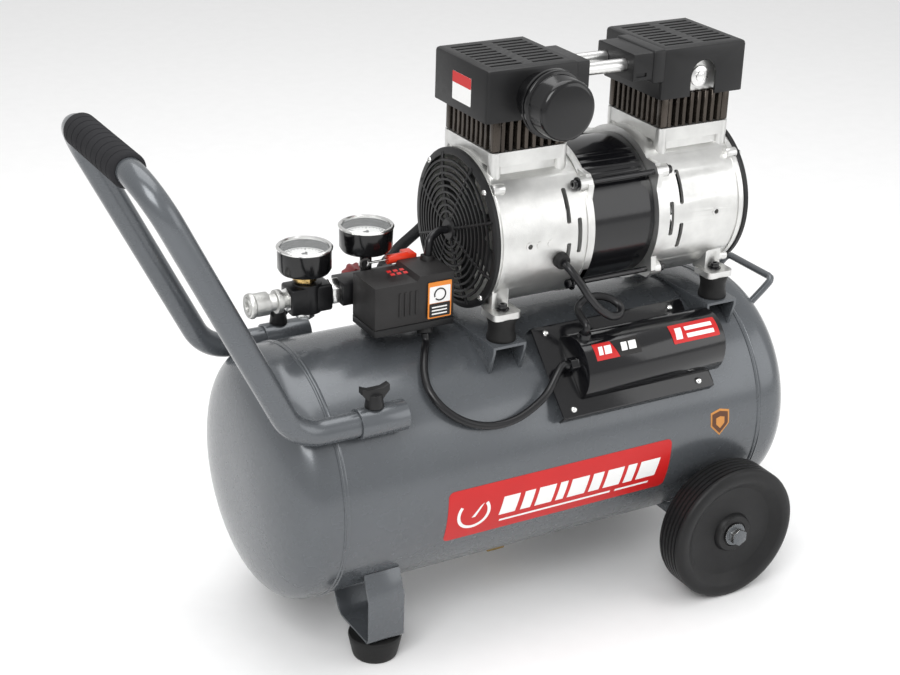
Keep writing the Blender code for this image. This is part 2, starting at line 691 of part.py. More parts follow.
def motor_bracket(side, name):
    """An inverted channel welded across the top of the tank under one end of the motor."""
    x = MOUNT_MID_X + side * MOUNT_HALF_X
    low = PLATE_Z - BRACKET_DROP
    outline = [(-BRACKET_HALF_Y, PLATE_Z), (BRACKET_HALF_Y, PLATE_Z), (BRACKET_HALF_Y, PLATE_Z - 0.007),
               (BRACKET_HALF_Y - 0.008, low), (-BRACKET_HALF_Y + 0.008, low),
               (-BRACKET_HALF_Y, PLATE_Z - 0.007)]
    body = prism(outline, "X", x - BRACKET_W / 2, x + BRACKET_W / 2)
    channel = block((x - BRACKET_W / 2 + BRACKET_T, -BRACKET_HALF_Y - OVERRUN, low - OVERRUN),
                    (x + BRACKET_W / 2 - BRACKET_T, BRACKET_HALF_Y + OVERRUN, PLATE_Z - BRACKET_T))
    put(f"motor_bracket_{name}", "tank_paint", combine(body, cut=[channel, tank_cutter()]))


def rubber_mount(end, side, name):
    """A rubber block between the bracket and a crankcase foot."""
    place = (MOUNT_MID_X + end * MOUNT_HALF_X, side * MOUNT_Y, PLATE_Z + GAP)
    profile = [(0.0, 0.0), (MOUNT_R, 0.0), (MOUNT_R - 0.001, MOUNT_H / 2), (MOUNT_R, MOUNT_H), (0.0, MOUNT_H)]
    put(name, "rubber", turned(profile, place, (0, 0, 1), 20))


def crankcase(end, name):
    """A cast end housing: crank room, bearing wall, cylinder deck, through-bolt lugs and feet."""
    can_end = MOTOR_X + end * (CAN_HALF + GAP)
    far_end = MOTOR_X + end * CASE_END
    cyl_x = MOTOR_X + end * CYL_OFFSET
    foot_x = MOUNT_MID_X + end * MOUNT_HALF_X
    deck_z = MOTOR_Z + DECK_RISE
    wall_x = can_end + end * BEARING_FROM_CAN
    body = rod((can_end, 0, MOTOR_Z), (far_end, 0, MOTOR_Z), CASE_R, 36)
    neck_y = NECK_HALF + 0.004
    add = [block((cyl_x - NECK_HALF, -neck_y, MOTOR_Z), (cyl_x + NECK_HALF, neck_y, deck_z)),
           block((cyl_x - DECK_HALF_X, -DECK_HALF_Y, deck_z - DECK_T),
                 (cyl_x + DECK_HALF_X, DECK_HALF_Y, deck_z), 0.003, "Z")]
    for side in (FRONT, BACK):
        y = side * MOUNT_Y
        low, high = sorted(y + side * reach for reach in FOOT_Y_SPAN)
        add.append(block((foot_x - FOOT_HALF_X, low, FOOT_LUG_Z),
                         (foot_x + FOOT_HALF_X, high, FOOT_LUG_Z + MOUNT_FOOT_T), 0.004, "Z"))
        low, high = sorted(y + side * reach for reach in COLUMN_Y_SPAN)
        add.append(block((foot_x - COLUMN_HALF_X, low, FOOT_LUG_Z + 0.001),
                         (foot_x + COLUMN_HALF_X, high, MOTOR_Z - COLUMN_TOP)))
        for angle in (LUG_ANGLE, -LUG_ANGLE):
            lug_x = sorted((can_end, can_end + end * LUG_L))
            reach = CASE_R + LUG_OUT
            place = (side * reach * cos(angle), MOTOR_Z + reach * sin(angle))
            add.append(rod((lug_x[0], place[0], place[1]), (lug_x[1], place[0], place[1]), LUG_R, 16))
    room = [rod((wall_x + end * BEARING_W / 2, 0, MOTOR_Z), (far_end + end * OVERRUN, 0, MOTOR_Z),
                CASE_R - CASE_WALL, 36),
            rod((wall_x - end * BEARING_W / 2, 0, MOTOR_Z), (can_end - end * OVERRUN, 0, MOTOR_Z),
                CAN_R - CASE_WALL, 28)]
    bores = [rod((wall_x - end * 0.02, 0, MOTOR_Z), (wall_x + end * 0.02, 0, MOTOR_Z), SHAFT_R + GAP, 20),
             rod((cyl_x, 0, MOTOR_Z), (cyl_x, 0, deck_z + OVERRUN), BORE_R, 36)]
    for side in (FRONT, BACK):
        for x, low, high in VENTS:
            slot_x = sorted((can_end + end * (x - VENT_W / 2), can_end + end * (x + VENT_W / 2)))
            reach = sorted((side * VENT_FROM_Y, side * (CASE_R + OVERRUN)))
            bores.append(block((slot_x[0], reach[0], MOTOR_Z + low), (slot_x[1], reach[1], MOTOR_Z + high)))
    if end == LEFT:
        add.append(rod(*motor_gland(), GLAND_R, 18))
    put(f"crankcase_{name}", "cast_alloy", combine(body, add=add, cut=room + bores, solver="MANIFOLD"))


def motor_gland():
    """The two ends of the cable boss on the handle-end crankcase."""
    x, angle = MOTOR_X + MOTOR_GLAND_X, MOTOR_GLAND_ANGLE
    return tuple((x, -reach * cos(angle), MOTOR_Z + reach * sin(angle))
                 for reach in (CASE_R - CASE_WALL / 2, CASE_R + 0.009))


def stator():
    """The motor's black can with the stator bore through it."""
    half = CAN_HALF - GAP
    bore = ROTOR_R + ROTOR_PLAY
    profile = [(bore, -half), (CAN_R, -half), (CAN_R, half), (bore, half)]
    put("stator", "gloss_black", turned(profile, (MOTOR_X, 0, MOTOR_Z), (1, 0, 0), 36, closed=True))


def rotor_shaft():
    """The shaft with the rotor core in the middle and an eccentric under each cylinder."""
    half = CASE_END - 0.006
    core = CAN_HALF - 0.004
    profile = [(0.0, -half), (SHAFT_R, -half), (SHAFT_R, -core), (ROTOR_R, -core), (ROTOR_R, core),
               (SHAFT_R, core), (SHAFT_R, half), (0.0, half)]
    body = turned(profile, (MOTOR_X, 0, MOTOR_Z), (1, 0, 0), 20)
    throws = []
    for end in (LEFT, RIGHT):
        x = MOTOR_X + end * CYL_OFFSET
        z = MOTOR_Z - end * HALF_STROKE
        throws.append(rod((x - ECCENTRIC_W / 2, 0, z), (x + ECCENTRIC_W / 2, 0, z), ECCENTRIC_R, 20))
    put("rotor_shaft", "bright_metal", combine(body, add=throws), (MOTOR_X, 0, MOTOR_Z))


def fan(end, name):
    """A cooling fan on the shaft's end, behind its guard."""
    mid = MOTOR_X + end * (CASE_END - FAN_W / 2 - 0.003)
    bore = SHAFT_R + GAP
    profile = [(bore, -FAN_W / 2), (FAN_HUB_R, -FAN_W / 2), (FAN_HUB_R, FAN_W / 2), (bore, FAN_W / 2)]
    hub = turned(profile, (mid, 0, MOTOR_Z), (1, 0, 0), 24, closed=True)
    blades = []
    for k in range(FAN_BLADES):
        blade = block((-FAN_W / 2 + 0.001, -0.0012, FAN_HUB_R - 0.003), (FAN_W / 2 - 0.001, 0.0012, FAN_R))
        pitch = Matrix.Rotation(radians(35), 4, "Z")
        place = Matrix.Translation((mid, 0, MOTOR_Z)) @ Matrix.Rotation(2 * pi * k / FAN_BLADES, 4, "X")
        bmesh.ops.transform(blade, matrix=place @ pitch, verts=blade.verts)
        blades.append(blade)
    put(f"fan_{name}", "black_plastic", combine(hub, add=blades), (mid, 0, MOTOR_Z))


def guard_ring(radius, end):
    """One ring of a domed fan guard."""
    rise = GUARD_DOME * (1 - (radius / GUARD_R) ** 2)
    x = MOTOR_X + end * (CASE_END + GAP + GUARD_W / 2 + rise)
    half = GUARD_BAR / 2
    profile = [(radius - half, -half), (radius + half, -half), (radius + half, half), (radius - half, half)]
    return turned(profile, (x, 0, MOTOR_Z), (1, 0, 0), 16, closed=True)


def fan_guard(end, name):
    """The domed grille on the open end of a crankcase."""
    seat = MOTOR_X + end * (CASE_END + GAP)
    rim = [(GUARD_R - 0.008, 0.0), (GUARD_R, 0.0), (GUARD_R, GUARD_W), (GUARD_R - 0.008, GUARD_W + 0.001)]
    body = turned(rim, (seat, 0, MOTOR_Z), (end, 0, 0), 28, closed=True)
    crown = seat + end * (GUARD_W / 2 + GUARD_DOME)
    add = [rod((crown - end * 0.003, 0, MOTOR_Z), (crown + end * 0.0025, 0, MOTOR_Z), GUARD_HUB_R, 20)]
    reach = GUARD_R - 0.010
    for k in range(1, GUARD_RINGS + 1):
        add.append(guard_ring(GUARD_HUB_R + (reach - GUARD_HUB_R) * (k - 0.3) / GUARD_RINGS, end))
    for k in range(GUARD_SPOKES):
        angle = 2 * pi * (k + 0.5) / GUARD_SPOKES
        route = []
        for step in range(5):
            radius = (GUARD_R - 0.004) * step / 4
            rise = GUARD_DOME * (1 - (radius / GUARD_R) ** 2)
            route.append((seat + end * (GUARD_W / 2 + rise), radius * cos(angle),
                          MOTOR_Z + radius * sin(angle)))
        add.append(pipe(route[1:] if k else route, GUARD_BAR * 0.7, 4))
    put(f"fan_guard_{name}", "black_plastic", combine(body, add=add))


def fin_outline(half_x, half_y):
    """A square outline whose sides are cut into upright fins, with solid corner posts."""
    outline = []
    for quarter in range(4):
        length = (half_x, half_y)[quarter % 2]
        depth = (half_y, half_x)[quarter % 2]
        post = 0.009
        pitch = (2 * length - 2 * post) / FIN_COUNT
        run = [(-length, depth)]
        for k in range(FIN_COUNT):
            start = -length + post + k * pitch
            run += [(start, depth), (start, depth - FIN_DEPTH), (start + pitch / 2, depth - FIN_DEPTH),
                    (start + pitch / 2, depth)]
        turn = Matrix.Rotation(-pi / 2 * quarter, 2)
        outline += [turn @ Vector(point) for point in run]
    return outline


def pump_cylinder(end, name):
    """The finned cylinder and, under the cover, its head."""
    x = MOTOR_X + end * CYL_OFFSET
    cover_x = MOTOR_X + end * COVER_OFFSET
    base = MOTOR_Z + DECK_RISE + GAP
    top = COVER_Z - GAP
    barrel = prism([(x + p[0], p[1]) for p in fin_outline(FIN_HALF_X, FIN_HALF_Y)], "Z", base, top)
    crown = COVER_Z + COVER_H - COVER_WALL - GAP
    head = block((cover_x - HEAD_HALF, -HEAD_HALF, top - 0.003), (cover_x + HEAD_HALF, HEAD_HALF, crown))
    bore = rod((x, 0, base - OVERRUN), (x, 0, top - 0.0005), BORE_R, 36)
    put(f"cylinder_{name}", "fin_metal", combine(barrel, add=[head], cut=[bore]))


def piston(end, name):
    """A one-piece piston and rod, which stops short of the eccentric's path."""
    x = MOTOR_X + end * CYL_OFFSET
    crown = COVER_Z - 0.001 - HALF_STROKE - 2 * GAP
    foot_z = MOTOR_Z + ECCENTRIC_R + 2 * HALF_STROKE + 0.001
    disc = rod((x, 0, crown - PISTON_T), (x, 0, crown), PISTON_R, 32)
    arm = block((x - 0.006, -0.009, foot_z), (x + 0.006, 0.009, crown - PISTON_T / 2))
    put(f"piston_{name}", "cast_alloy", combine(disc, add=[arm]), (x, 0, crown))


def head_cover(end, name):
    """A slotted plastic cover over a cylinder head, with its pipe block and, at one end, a window."""
    x = MOTOR_X + end * COVER_OFFSET
    top = COVER_Z + COVER_H
    body = block((x - COVER_HALF_X, -COVER_HALF_Y, COVER_Z - 0.006), (x + COVER_HALF_X, COVER_HALF_Y, top),
                 COVER_ROUND)
    cut = [block((x - COVER_HALF_X - OVERRUN, -COVER_HALF_Y - OVERRUN, COVER_Z - 0.020),
                 (x + COVER_HALF_X + OVERRUN, COVER_HALF_Y + OVERRUN, COVER_Z)),
           block((x - COVER_HALF_X + COVER_WALL, -COVER_HALF_Y + COVER_WALL, COVER_Z - OVERRUN),
                 (x + COVER_HALF_X - COVER_WALL, COVER_HALF_Y - COVER_WALL, top - COVER_WALL))]
    for bank in (-1, 1):
        for k in range(SLOT_COUNT):
            y = (k - (SLOT_COUNT - 1) / 2) * SLOT_PITCH
            mid = x + bank * SLOT_BANK_X
            cut.append(block((mid - SLOT_LENGTH / 2, y - SLOT_W / 2, top - COVER_WALL - 0.0001),
                             (mid + SLOT_LENGTH / 2, y + SLOT_W / 2, top + OVERRUN)))
    if end == RIGHT:
        cut.append(head_window(x))
    shell = combine(body, cut=cut)
    inner_face = x - end * (COVER_HALF_X - COVER_WALL / 2)
    length = COVER_WALL / 2 + (LEFT_BLOCK if end == LEFT else RIGHT_BLOCK)
    low, high = sorted((inner_face, inner_face - end * length))
    port_z = COVER_Z + PORT_Z
    port = block((low, PORT_BLOCK_Y[0], port_z - PORT_BLOCK_H / 2),
                 (high, PORT_BLOCK_Y[1], port_z + PORT_BLOCK_H / 2),
                 0.002, "X")
    add = [port]
    if end == LEFT:
        add.append(rod((x, COVER_HALF_Y - COVER_WALL / 2, port_z), (x, COVER_HALF_Y + 0.008, port_z), 0.011, 6))
    put(f"head_cover_{name}", "black_plastic", combine(shell, add=add))


def head_window(x):
    """The arched opening in the front of a head cover."""
    half = WINDOW_HALF
    spring = COVER_Z + WINDOW_SPRING
    arch = [(x + half * cos(a), spring + half * sin(a)) for a in (pi * k / 10 for k in range(11))]
    outline = [(x + half, COVER_Z - OVERRUN)] + arch + [(x - half, COVER_Z - OVERRUN)]
    return prism(outline, "Y", -COVER_HALF_Y - OVERRUN, -COVER_HALF_Y + COVER_WALL + 0.002)


def transfer_pipe(y, name):
    """A straight pipe between the two pipe blocks."""
    start = MOTOR_X - COVER_OFFSET + COVER_HALF_X + LEFT_BLOCK + GAP
    end = MOTOR_X + COVER_OFFSET - COVER_HALF_X - RIGHT_BLOCK - GAP
    z = COVER_Z + PORT_Z
    put(f"transfer_pipe_{name}", "bright_metal", rod((start, y, z), (end, y, z), PIPE_R, 24))


def air_filter():
    """The round intake filter on the front of the handle-end cover."""
    x = MOTOR_X - COVER_OFFSET + FILTER_X
    profile = [(0.0, GAP), (FILTER_NECK_R, GAP), (FILTER_NECK_R, 0.023), (FILTER_RING_R, 0.026),
               (FILTER_RING_R, 0.033), (FILTER_R, 0.035), (FILTER_R, FILTER_OUT - 0.004),
               (FILTER_R - 0.004, FILTER_OUT), (0.0, FILTER_OUT)]
    put("air_filter", "gloss_black", turned(profile, (x, -COVER_HALF_Y, COVER_Z + FILTER_Z), (0, -1, 0), 24))


# ---------------------------------------------------------------- pressure switch, gauges and valves

def manifold():
    """The block on the tank's outlet nipple that carries the switch, a gauge and the regulator."""
    low = (MANIFOLD_X[0], LINE_Y - MANIFOLD_HALF_Y, LINE_Z - MANIFOLD_HALF_Z)
    high = (MANIFOLD_X[1], LINE_Y + MANIFOLD_HALF_Y, LINE_Z + MANIFOLD_HALF_Z)
    body = block(low, high, 0.002, "X")
    union_nut = rod((REGULATOR_X[1] + GAP, LINE_Y, LINE_Z), (MANIFOLD_X[0] + 0.002, LINE_Y, LINE_Z), 0.0125, 6)
    nipple = rod((NIPPLE_X, LINE_Y, TANK_TOP - 0.010), (NIPPLE_X, LINE_Y, LINE_Z), NIPPLE_R)
    collar_z = TANK_TOP + GAP
    collar = rod((NIPPLE_X, LINE_Y, collar_z), (NIPPLE_X, LINE_Y, collar_z + 0.010), 0.0145, 6)
    stem = rod((GAUGE_X[1], LINE_Y, LINE_Z), (GAUGE_X[1], LINE_Y, GAUGE_TOP[1] - GAUGE_H - GAP), STEM_R, 16)
    hose_port = rod((MANIFOLD_X[1] - 0.014, LINE_Y, LINE_Z), (MANIFOLD_X[1] - 0.014, LINE_Y + 0.026, LINE_Z),
                    0.0090, 6)
    valve_foot = rod((VALVE_X[1] + 0.004, LINE_Y - 0.008, LINE_Z),
                     (VALVE_X[1] + 0.004, LINE_Y - 0.008, VALVE_Z - 0.0062), 0.0050, 12)
    put("manifold", "black_plastic",
        combine(body, add=[union_nut, nipple, collar, stem, hose_port, valve_foot]))


def regulator():
    """The pressure regulator's body with its drain plug and the outlet gauge's stem."""
    body = block((REGULATOR_X[0], LINE_Y - REGULATOR_HALF, LINE_Z - REGULATOR_HALF),
                 (REGULATOR_X[1], LINE_Y + REGULATOR_HALF, LINE_Z + REGULATOR_HALF), 0.003)
    plug = rod((GAUGE_X[0], LINE_Y, LINE_Z - REGULATOR_HALF - 0.007), (GAUGE_X[0], LINE_Y, LINE_Z), 0.0095, 6)
    stem = rod((GAUGE_X[0], LINE_Y, LINE_Z), (GAUGE_X[0], LINE_Y, GAUGE_TOP[0] - GAUGE_H - GAP),
               STEM_R + 0.003, 16)
    put("regulator", "black_plastic", combine(body, add=[plug, stem]))


def regulator_knob():
    """The scalloped red knob on the back of the manifold."""
    seat = LINE_Y + MANIFOLD_HALF_Y + GAP
    outline = []
    for k in range(48):
        angle = 2 * pi * k / 48
        radius = KNOB_RED_R - 0.0012 * (1 + cos(8 * angle))
        outline.append((KNOB_RED_X + radius * cos(angle), LINE_Z + radius * sin(angle)))
    body = prism(outline, "Y", seat, seat + 0.018)
    put("regulator_knob", "red_plastic", body, (KNOB_RED_X, seat, LINE_Z))


def gauge(index, name):
    """A pressure gauge's case, open at the top round its dial, and its needle."""
    x, top = GAUGE_X[index], GAUGE_TOP[index]
    bottom = top - GAUGE_H
    inner = GAUGE_R - GAUGE_WALL
    dial = top - GAUGE_FLOOR
    profile = [(0.0, bottom), (0.016, bottom), (GAUGE_R - 0.003, bottom + 0.003),
               (GAUGE_R - 0.001, bottom + 0.007),
               (GAUGE_R - 0.001, top - 0.006), (GAUGE_R, top - 0.005), (GAUGE_R, top - 0.001),
               (GAUGE_R - 0.001, top), (inner, top), (inner - 0.001, dial), (0.0, dial)]
    put(f"gauge_{name}", "gloss_black", turned(profile, (x, LINE_Y, 0), (0, 0, 1), 24))
    seat = dial + GAP
    hub = rod((x, LINE_Y, seat), (x, LINE_Y, seat + 0.0028), PIVOT_R, 16)
    angle = radians(-130)
    along = Vector((cos(angle), sin(angle)))
    across = Vector((-along.y, along.x))
    centre = Vector((x, LINE_Y))
    tail, tip = centre - along * 0.007, centre + along * NEEDLE_LENGTH
    outline = [tail - across * 0.0011, tip - across * 0.0004, tip + across * 0.0004, tail + across * 0.0011]
    blade = prism(outline, "Z", seat + 0.0012, seat + 0.0022)
    put(f"gauge_needle_{name}", "black_plastic", combine(hub, add=[blade]), (x, LINE_Y, seat))


def quick_coupler():
    """The outlet coupler's body, bored through, and its sliding sleeve."""
    length = COUPLER_X[1] - COUPLER_X[0]
    tail = REGULATOR_X[0] - GAP - COUPLER_X[0]
    groove = (SLEEVE_X[0] - COUPLER_X[0], SLEEVE_X[1] - COUPLER_X[0])
    profile = [(COUPLER_BORE, 0.0), (COUPLER_R - 0.0012, 0.0), (COUPLER_R - 0.0012, groove[1] + 0.008),
               (COUPLER_R + 0.0020, groove[1] + 0.0082), (COUPLER_R + 0.0020, length - 0.006),
               (COUPLER_R - 0.002, length - 0.005), (COUPLER_R - 0.002, tail), (COUPLER_BORE - 0.002, tail),
               (COUPLER_BORE - 0.002, 0.016), (COUPLER_BORE, 0.014)]
    origin = (COUPLER_X[0], LINE_Y, LINE_Z)
    put("quick_coupler", "bright_metal", turned(profile, origin, (1, 0, 0), 20, closed=True))
    bore = COUPLER_R - 0.0012 + GAP
    sleeve = [(bore, groove[0]), (SLEEVE_R - 0.001, groove[0]), (SLEEVE_R, groove[0] + 0.002),
              (SLEEVE_R, groove[0] + 0.005), (SLEEVE_R - 0.001, groove[0] + 0.006),
              (SLEEVE_R - 0.001, groove[1]), (bore, groove[1])]
    put("coupler_sleeve", "bright_metal", turned(sleeve, origin, (1, 0, 0), 20, closed=True), origin)


def safety_valve():
    """The relief valve lying over the manifold, and the pull pin that lifts it."""
    body = rod((VALVE_X[0] + 0.010, VALVE_Y, VALVE_Z), (VALVE_X[1], VALVE_Y, VALVE_Z), VALVE_R, 20)
    nose_x = VALVE_X[1] + 0.004
    elbow = block((VALVE_X[1] - 0.002, VALVE_Y - 0.004, VALVE_Z - 0.0058),
                  (nose_x + 0.005, LINE_Y - 0.003, VALVE_Z + 0.003), 0.001)
    bore = rod((VALVE_X[0], VALVE_Y, VALVE_Z), (VALVE_X[0] + 0.022, VALVE_Y, VALVE_Z), 0.0013 + GAP, 12)
    put("safety_valve", "orange_plastic", combine(body, add=[elbow], cut=[bore]))
    left = VALVE_X[0] - 0.010
    pin = rod((left, VALVE_Y, VALVE_Z), (VALVE_X[0] + 0.020, VALVE_Y, VALVE_Z), 0.0013, 12)
    ring_r = 0.0050
    profile = [(ring_r - 0.0010, -0.001), (ring_r + 0.0012, -0.001), (ring_r + 0.0012, 0.001),
               (ring_r - 0.0010, 0.001)]
    ring = turned(profile, (left - ring_r + 0.0004, VALVE_Y, VALVE_Z), (0, 1, 0), 20, closed=True)
    put("safety_pin", "bright_metal", combine(pin, add=[ring]), (VALVE_X[0], VALVE_Y, VALVE_Z))


def pressure_switch():
    """The switch's cast base, screwed to the manifold, and its stepped cover."""
    x0, x1 = SWITCH_X
    y0, y1 = SWITCH_Y
    z0, z1 = SWITCH_Z
    lip = SWITCH_WALL + GAP
    base = block((x0 - 0.001, y0 - 0.001, z0), (x1 + 0.001, y1, z0 + SWITCH_BASE_H), 0.002, "Z")
    works = block((x0 + lip + 0.004, y0 + lip + 0.004, z0 + 0.002), (x1 - lip - 0.004, y1, z0 + 0.030))
    gland = rod(*supply_gland(), GLAND_R, 16)
    arm = block((-0.165, y1 - 0.002, z0), (-0.120, LINE_Y - MANIFOLD_HALF_Y - GAP, z0 + 0.024))
    put("switch_base", "switch_plastic", combine(base, add=[works, gland, arm]))
    seat = z0 + SWITCH_BASE_H + GAP
    outline = [(x0, seat), (x1, seat), (x1, z1), (SWITCH_STEP_X, z1), (SWITCH_STEP_X - 0.003, z1 - SWITCH_STEP),
               (x0, z1 - SWITCH_STEP)]
    body = prism(outline, "Y", y0, y1)
    inner = [(x0 + SWITCH_WALL, seat - OVERRUN), (x1 - SWITCH_WALL, seat - OVERRUN),
             (x1 - SWITCH_WALL, z1 - SWITCH_WALL),
             (SWITCH_STEP_X + SWITCH_WALL, z1 - SWITCH_WALL), (SWITCH_STEP_X, z1 - SWITCH_STEP - SWITCH_WALL),
             (x0 + SWITCH_WALL, z1 - SWITCH_STEP - SWITCH_WALL)]
    hollow = prism(inner, "Y", y0 + SWITCH_WALL, y1 - SWITCH_WALL)
    relief = block((x0 + lip, y1 - SWITCH_WALL - OVERRUN, seat - OVERRUN),
                   (x1 - lip, y1 + OVERRUN, z0 + 0.030 + GAP))
    ribs = [block((x, y0 - 0.0012, seat + 0.010), (x + 0.0022, y0 + 0.001, z1 - 0.014))
            for x in (-0.150, -0.144, -0.138, -0.132)]
    cap_gland = rod(*sensor_gland(), GLAND_R * 0.9, 16)
    put("switch_cover", "switch_plastic", combine(body, add=ribs + [cap_gland], cut=[hollow, relief]))


def supply_gland():
    """The ends of the cable gland under the switch."""
    return (-0.1150, -0.0330, SWITCH_Z[0] + 0.003), (-0.1165, -0.0385, SWITCH_Z[0] - 0.0085)


def sensor_gland():
    """The ends of the cable gland on top of the switch."""
    top = SWITCH_Z[1]
    return (-0.0990, -0.0070, top - 0.001), (-0.0982, -0.0066, top + 0.0040)


# ---------------------------------------------------------------- capacitor box

def on_box(x, out, along):
    """A point on the capacitor box: out from the tank's surface and along the slope, downwards."""
    reach = TANK_R + GAP + out
    return Vector((x, -reach * cos(BOX_ANGLE) - along * sin(BOX_ANGLE),
                   TANK_Z + reach * sin(BOX_ANGLE) - along * cos(BOX_ANGLE)))


def to_slope(bm):
    """Turns a shape built over the origin, out along +Z, onto the capacitor box's slope."""
    seat = on_box(0, 0, 0)
    turn = Matrix.Rotation(pi / 2 - BOX_ANGLE, 4, "X")
    bmesh.ops.transform(bm, matrix=Matrix.Translation(seat) @ turn, verts=bm.verts)
    return bm


def arch(radius, out, steps=14):
    """The outline of a round-topped cover over a flat plate, in the slope's own Y and Z."""
    curve = [(radius * cos(pi * k / steps), out + radius * sin(pi * k / steps)) for k in range(steps + 1)]
    return curve


def capacitor_box():
    """The base plate on the tank, the run capacitor and the round-topped cover."""
    rise = PLATE_RISE
    plate = block((PLATE_X[0], -PLATE_HALF, rise), (PLATE_X[1], PLATE_HALF, rise + PLATE_T), 0.004, "Z")
    legs = [block((PLATE_X[0], y - 0.001, -0.004), (PLATE_X[1], y + 0.001, rise + PLATE_T / 2))
            for y in (-PLATE_HALF + 0.001, PLATE_HALF - 0.001)]
    pads = [block((x - 0.012, -0.020, 0.0), (x + 0.012, 0.020, rise + PLATE_T / 2))
            for x in (PLATE_X[0] + 0.030, PLATE_X[1] - 0.030)]
    base = combine(to_slope(plate), add=[to_slope(shape) for shape in legs + pads], cut=[tank_cutter()])
    put("capacitor_plate", "gloss_black", base)
    seat = rise + PLATE_T + GAP
    middle = box_middle()
    lip = BOX_COVER_R - SHELL_T
    outer = [(BOX_COVER_R, seat)] + arch(BOX_COVER_R, middle) + [(-BOX_COVER_R, seat)]
    inner = [(lip, seat - OVERRUN)] + arch(lip, middle) + [(-lip, seat - OVERRUN)]
    shell = prism(outer, "X", BOX_COVER_X[0], BOX_COVER_X[1])
    hollow = prism(inner, "X", BOX_COVER_X[0] + SHELL_T, BOX_COVER_X[1] - SHELL_T)
    glands = [rod(*box_gland(), 0.0075, 6), rod(*lead_gland(), 0.0065, 16)]
    put("capacitor_cover", "gloss_black", combine(to_slope(shell), add=glands, cut=[to_slope(hollow)]))
    height = seat + CAP_R
    body = to_slope(rod((BOX_COVER_X[0] + CAP_INSET, 0, height), (PLATE_X[1] - CAP_INSET, 0, height), CAP_R))
    put("capacitor", "bright_metal", body)


def box_middle():
    """How far the capacitor cover's round top is centred above the tank's surface."""
    return PLATE_RISE + PLATE_T + GAP + 0.002


def box_gland():
    """The root and mouth of the gland on the capacitor cover's end."""
    out = box_middle() + 0.012
    return on_box(BOX_COVER_X[0] + SHELL_T / 2, out, 0), on_box(BOX_COVER_X[0] - 0.009, out, 0)


def lead_gland():
    """The root and mouth of the motor cable's boss on the cover's upper side."""
    return tuple(on_box(LEAD_IN_X, box_middle() + reach * sin(LEAD_IN_ANGLE), -reach * cos(LEAD_IN_ANGLE))
                 for reach in (BOX_COVER_R - SHELL_T / 2, BOX_COVER_R + 0.005))


# ---------------------------------------------------------------- cables and the air line

def beyond(gland, distance):
    """A point past the mouth of a gland that is given by its root and its mouth."""
    root, mouth = (Vector(point) for point in gland)
    return mouth + (mouth - root).normalized() * distance


def run(start, middle, end, spacing):
    """A cable's route between two glands, square to both mouths."""
    points = [beyond(start, GAP), beyond(start, LEAD_OUT)] + [Vector(point) for point in middle]
    return smooth(points + [beyond(end, LEAD_OUT), beyond(end, GAP)], spacing)


def hub_mouth():
    """The root and face of the handle-end fan guard's hub."""
    crown = MOTOR_X - (CASE_END + GAP + GUARD_W / 2 + GUARD_DOME)
    return (crown, 0, MOTOR_Z), (crown - 0.0025, 0, MOTOR_Z)


def hose_ports():
    """The root and mouth of the air line's fitting on the left head, and of the one on the manifold."""
    z = COVER_Z + PORT_Z
    x = MOTOR_X - COVER_OFFSET
    port_x = MANIFOLD_X[1] - 0.014
    return ((x, COVER_HALF_Y - COVER_WALL / 2, z), (x, COVER_HALF_Y + 0.008, z)), \
        ((port_x, LINE_Y, LINE_Z), (port_x, LINE_Y + 0.026, LINE_Z))


def cables():
    """The three leads and the braided air line, each along its own route."""
    supply = [(-0.1265, -0.0560, 0.3050), (-0.1360, -0.0740, 0.2930), (-0.1385, -0.0900, 0.2815),
              (-0.1310, -0.1035, 0.2680), (-0.1160, -0.1130, 0.2560), (-0.0970, -0.1180, 0.2480),
              (-0.0760, -0.1200, 0.2450), (-0.0550, -0.1200, 0.2475), (-0.0350, -0.1180, 0.2550),
              (-0.0180, -0.1150, 0.2660)]
    lead("supply_cable", run(supply_gland(), supply, box_gland(), 0.016), SUPPLY_LEAD_R)
    motor = [(0.0200, -0.1060, 0.3720), (0.0280, -0.1110, 0.3580), (0.0400, -0.1130, 0.3440),
             (0.0560, -0.1110, 0.3330), (0.0710, -0.1040, 0.3300), (0.0770, -0.0940, 0.3340),
             (0.0700, -0.0850, 0.3400), (0.0560, -0.0800, 0.3430), (0.0430, -0.0800, 0.3410),
             (0.0340, -0.0830, 0.3330)]
    lead("motor_cable", run(motor_gland(), motor, lead_gland(), 0.014), MOTOR_LEAD_R)
    sensor = [(-0.0940, -0.0040, 0.4030)]
    lead("sensor_cable", run(sensor_gland(), sensor, hub_mouth(), 0.008), SENSOR_LEAD_R)
    hose = [(-0.0080, 0.0900, 0.5500), (0.0020, 0.1010, 0.5100), (0.0040, 0.1040, 0.4600),
            (-0.0100, 0.1040, 0.4150), (-0.0400, 0.1010, 0.3780), (-0.0780, 0.0930, 0.3560)]
    lead("air_hose", run(hose_ports()[0], hose, hose_ports()[1], 0.020), HOSE_R, "foam")


# ---------------------------------------------------------------- the compressor

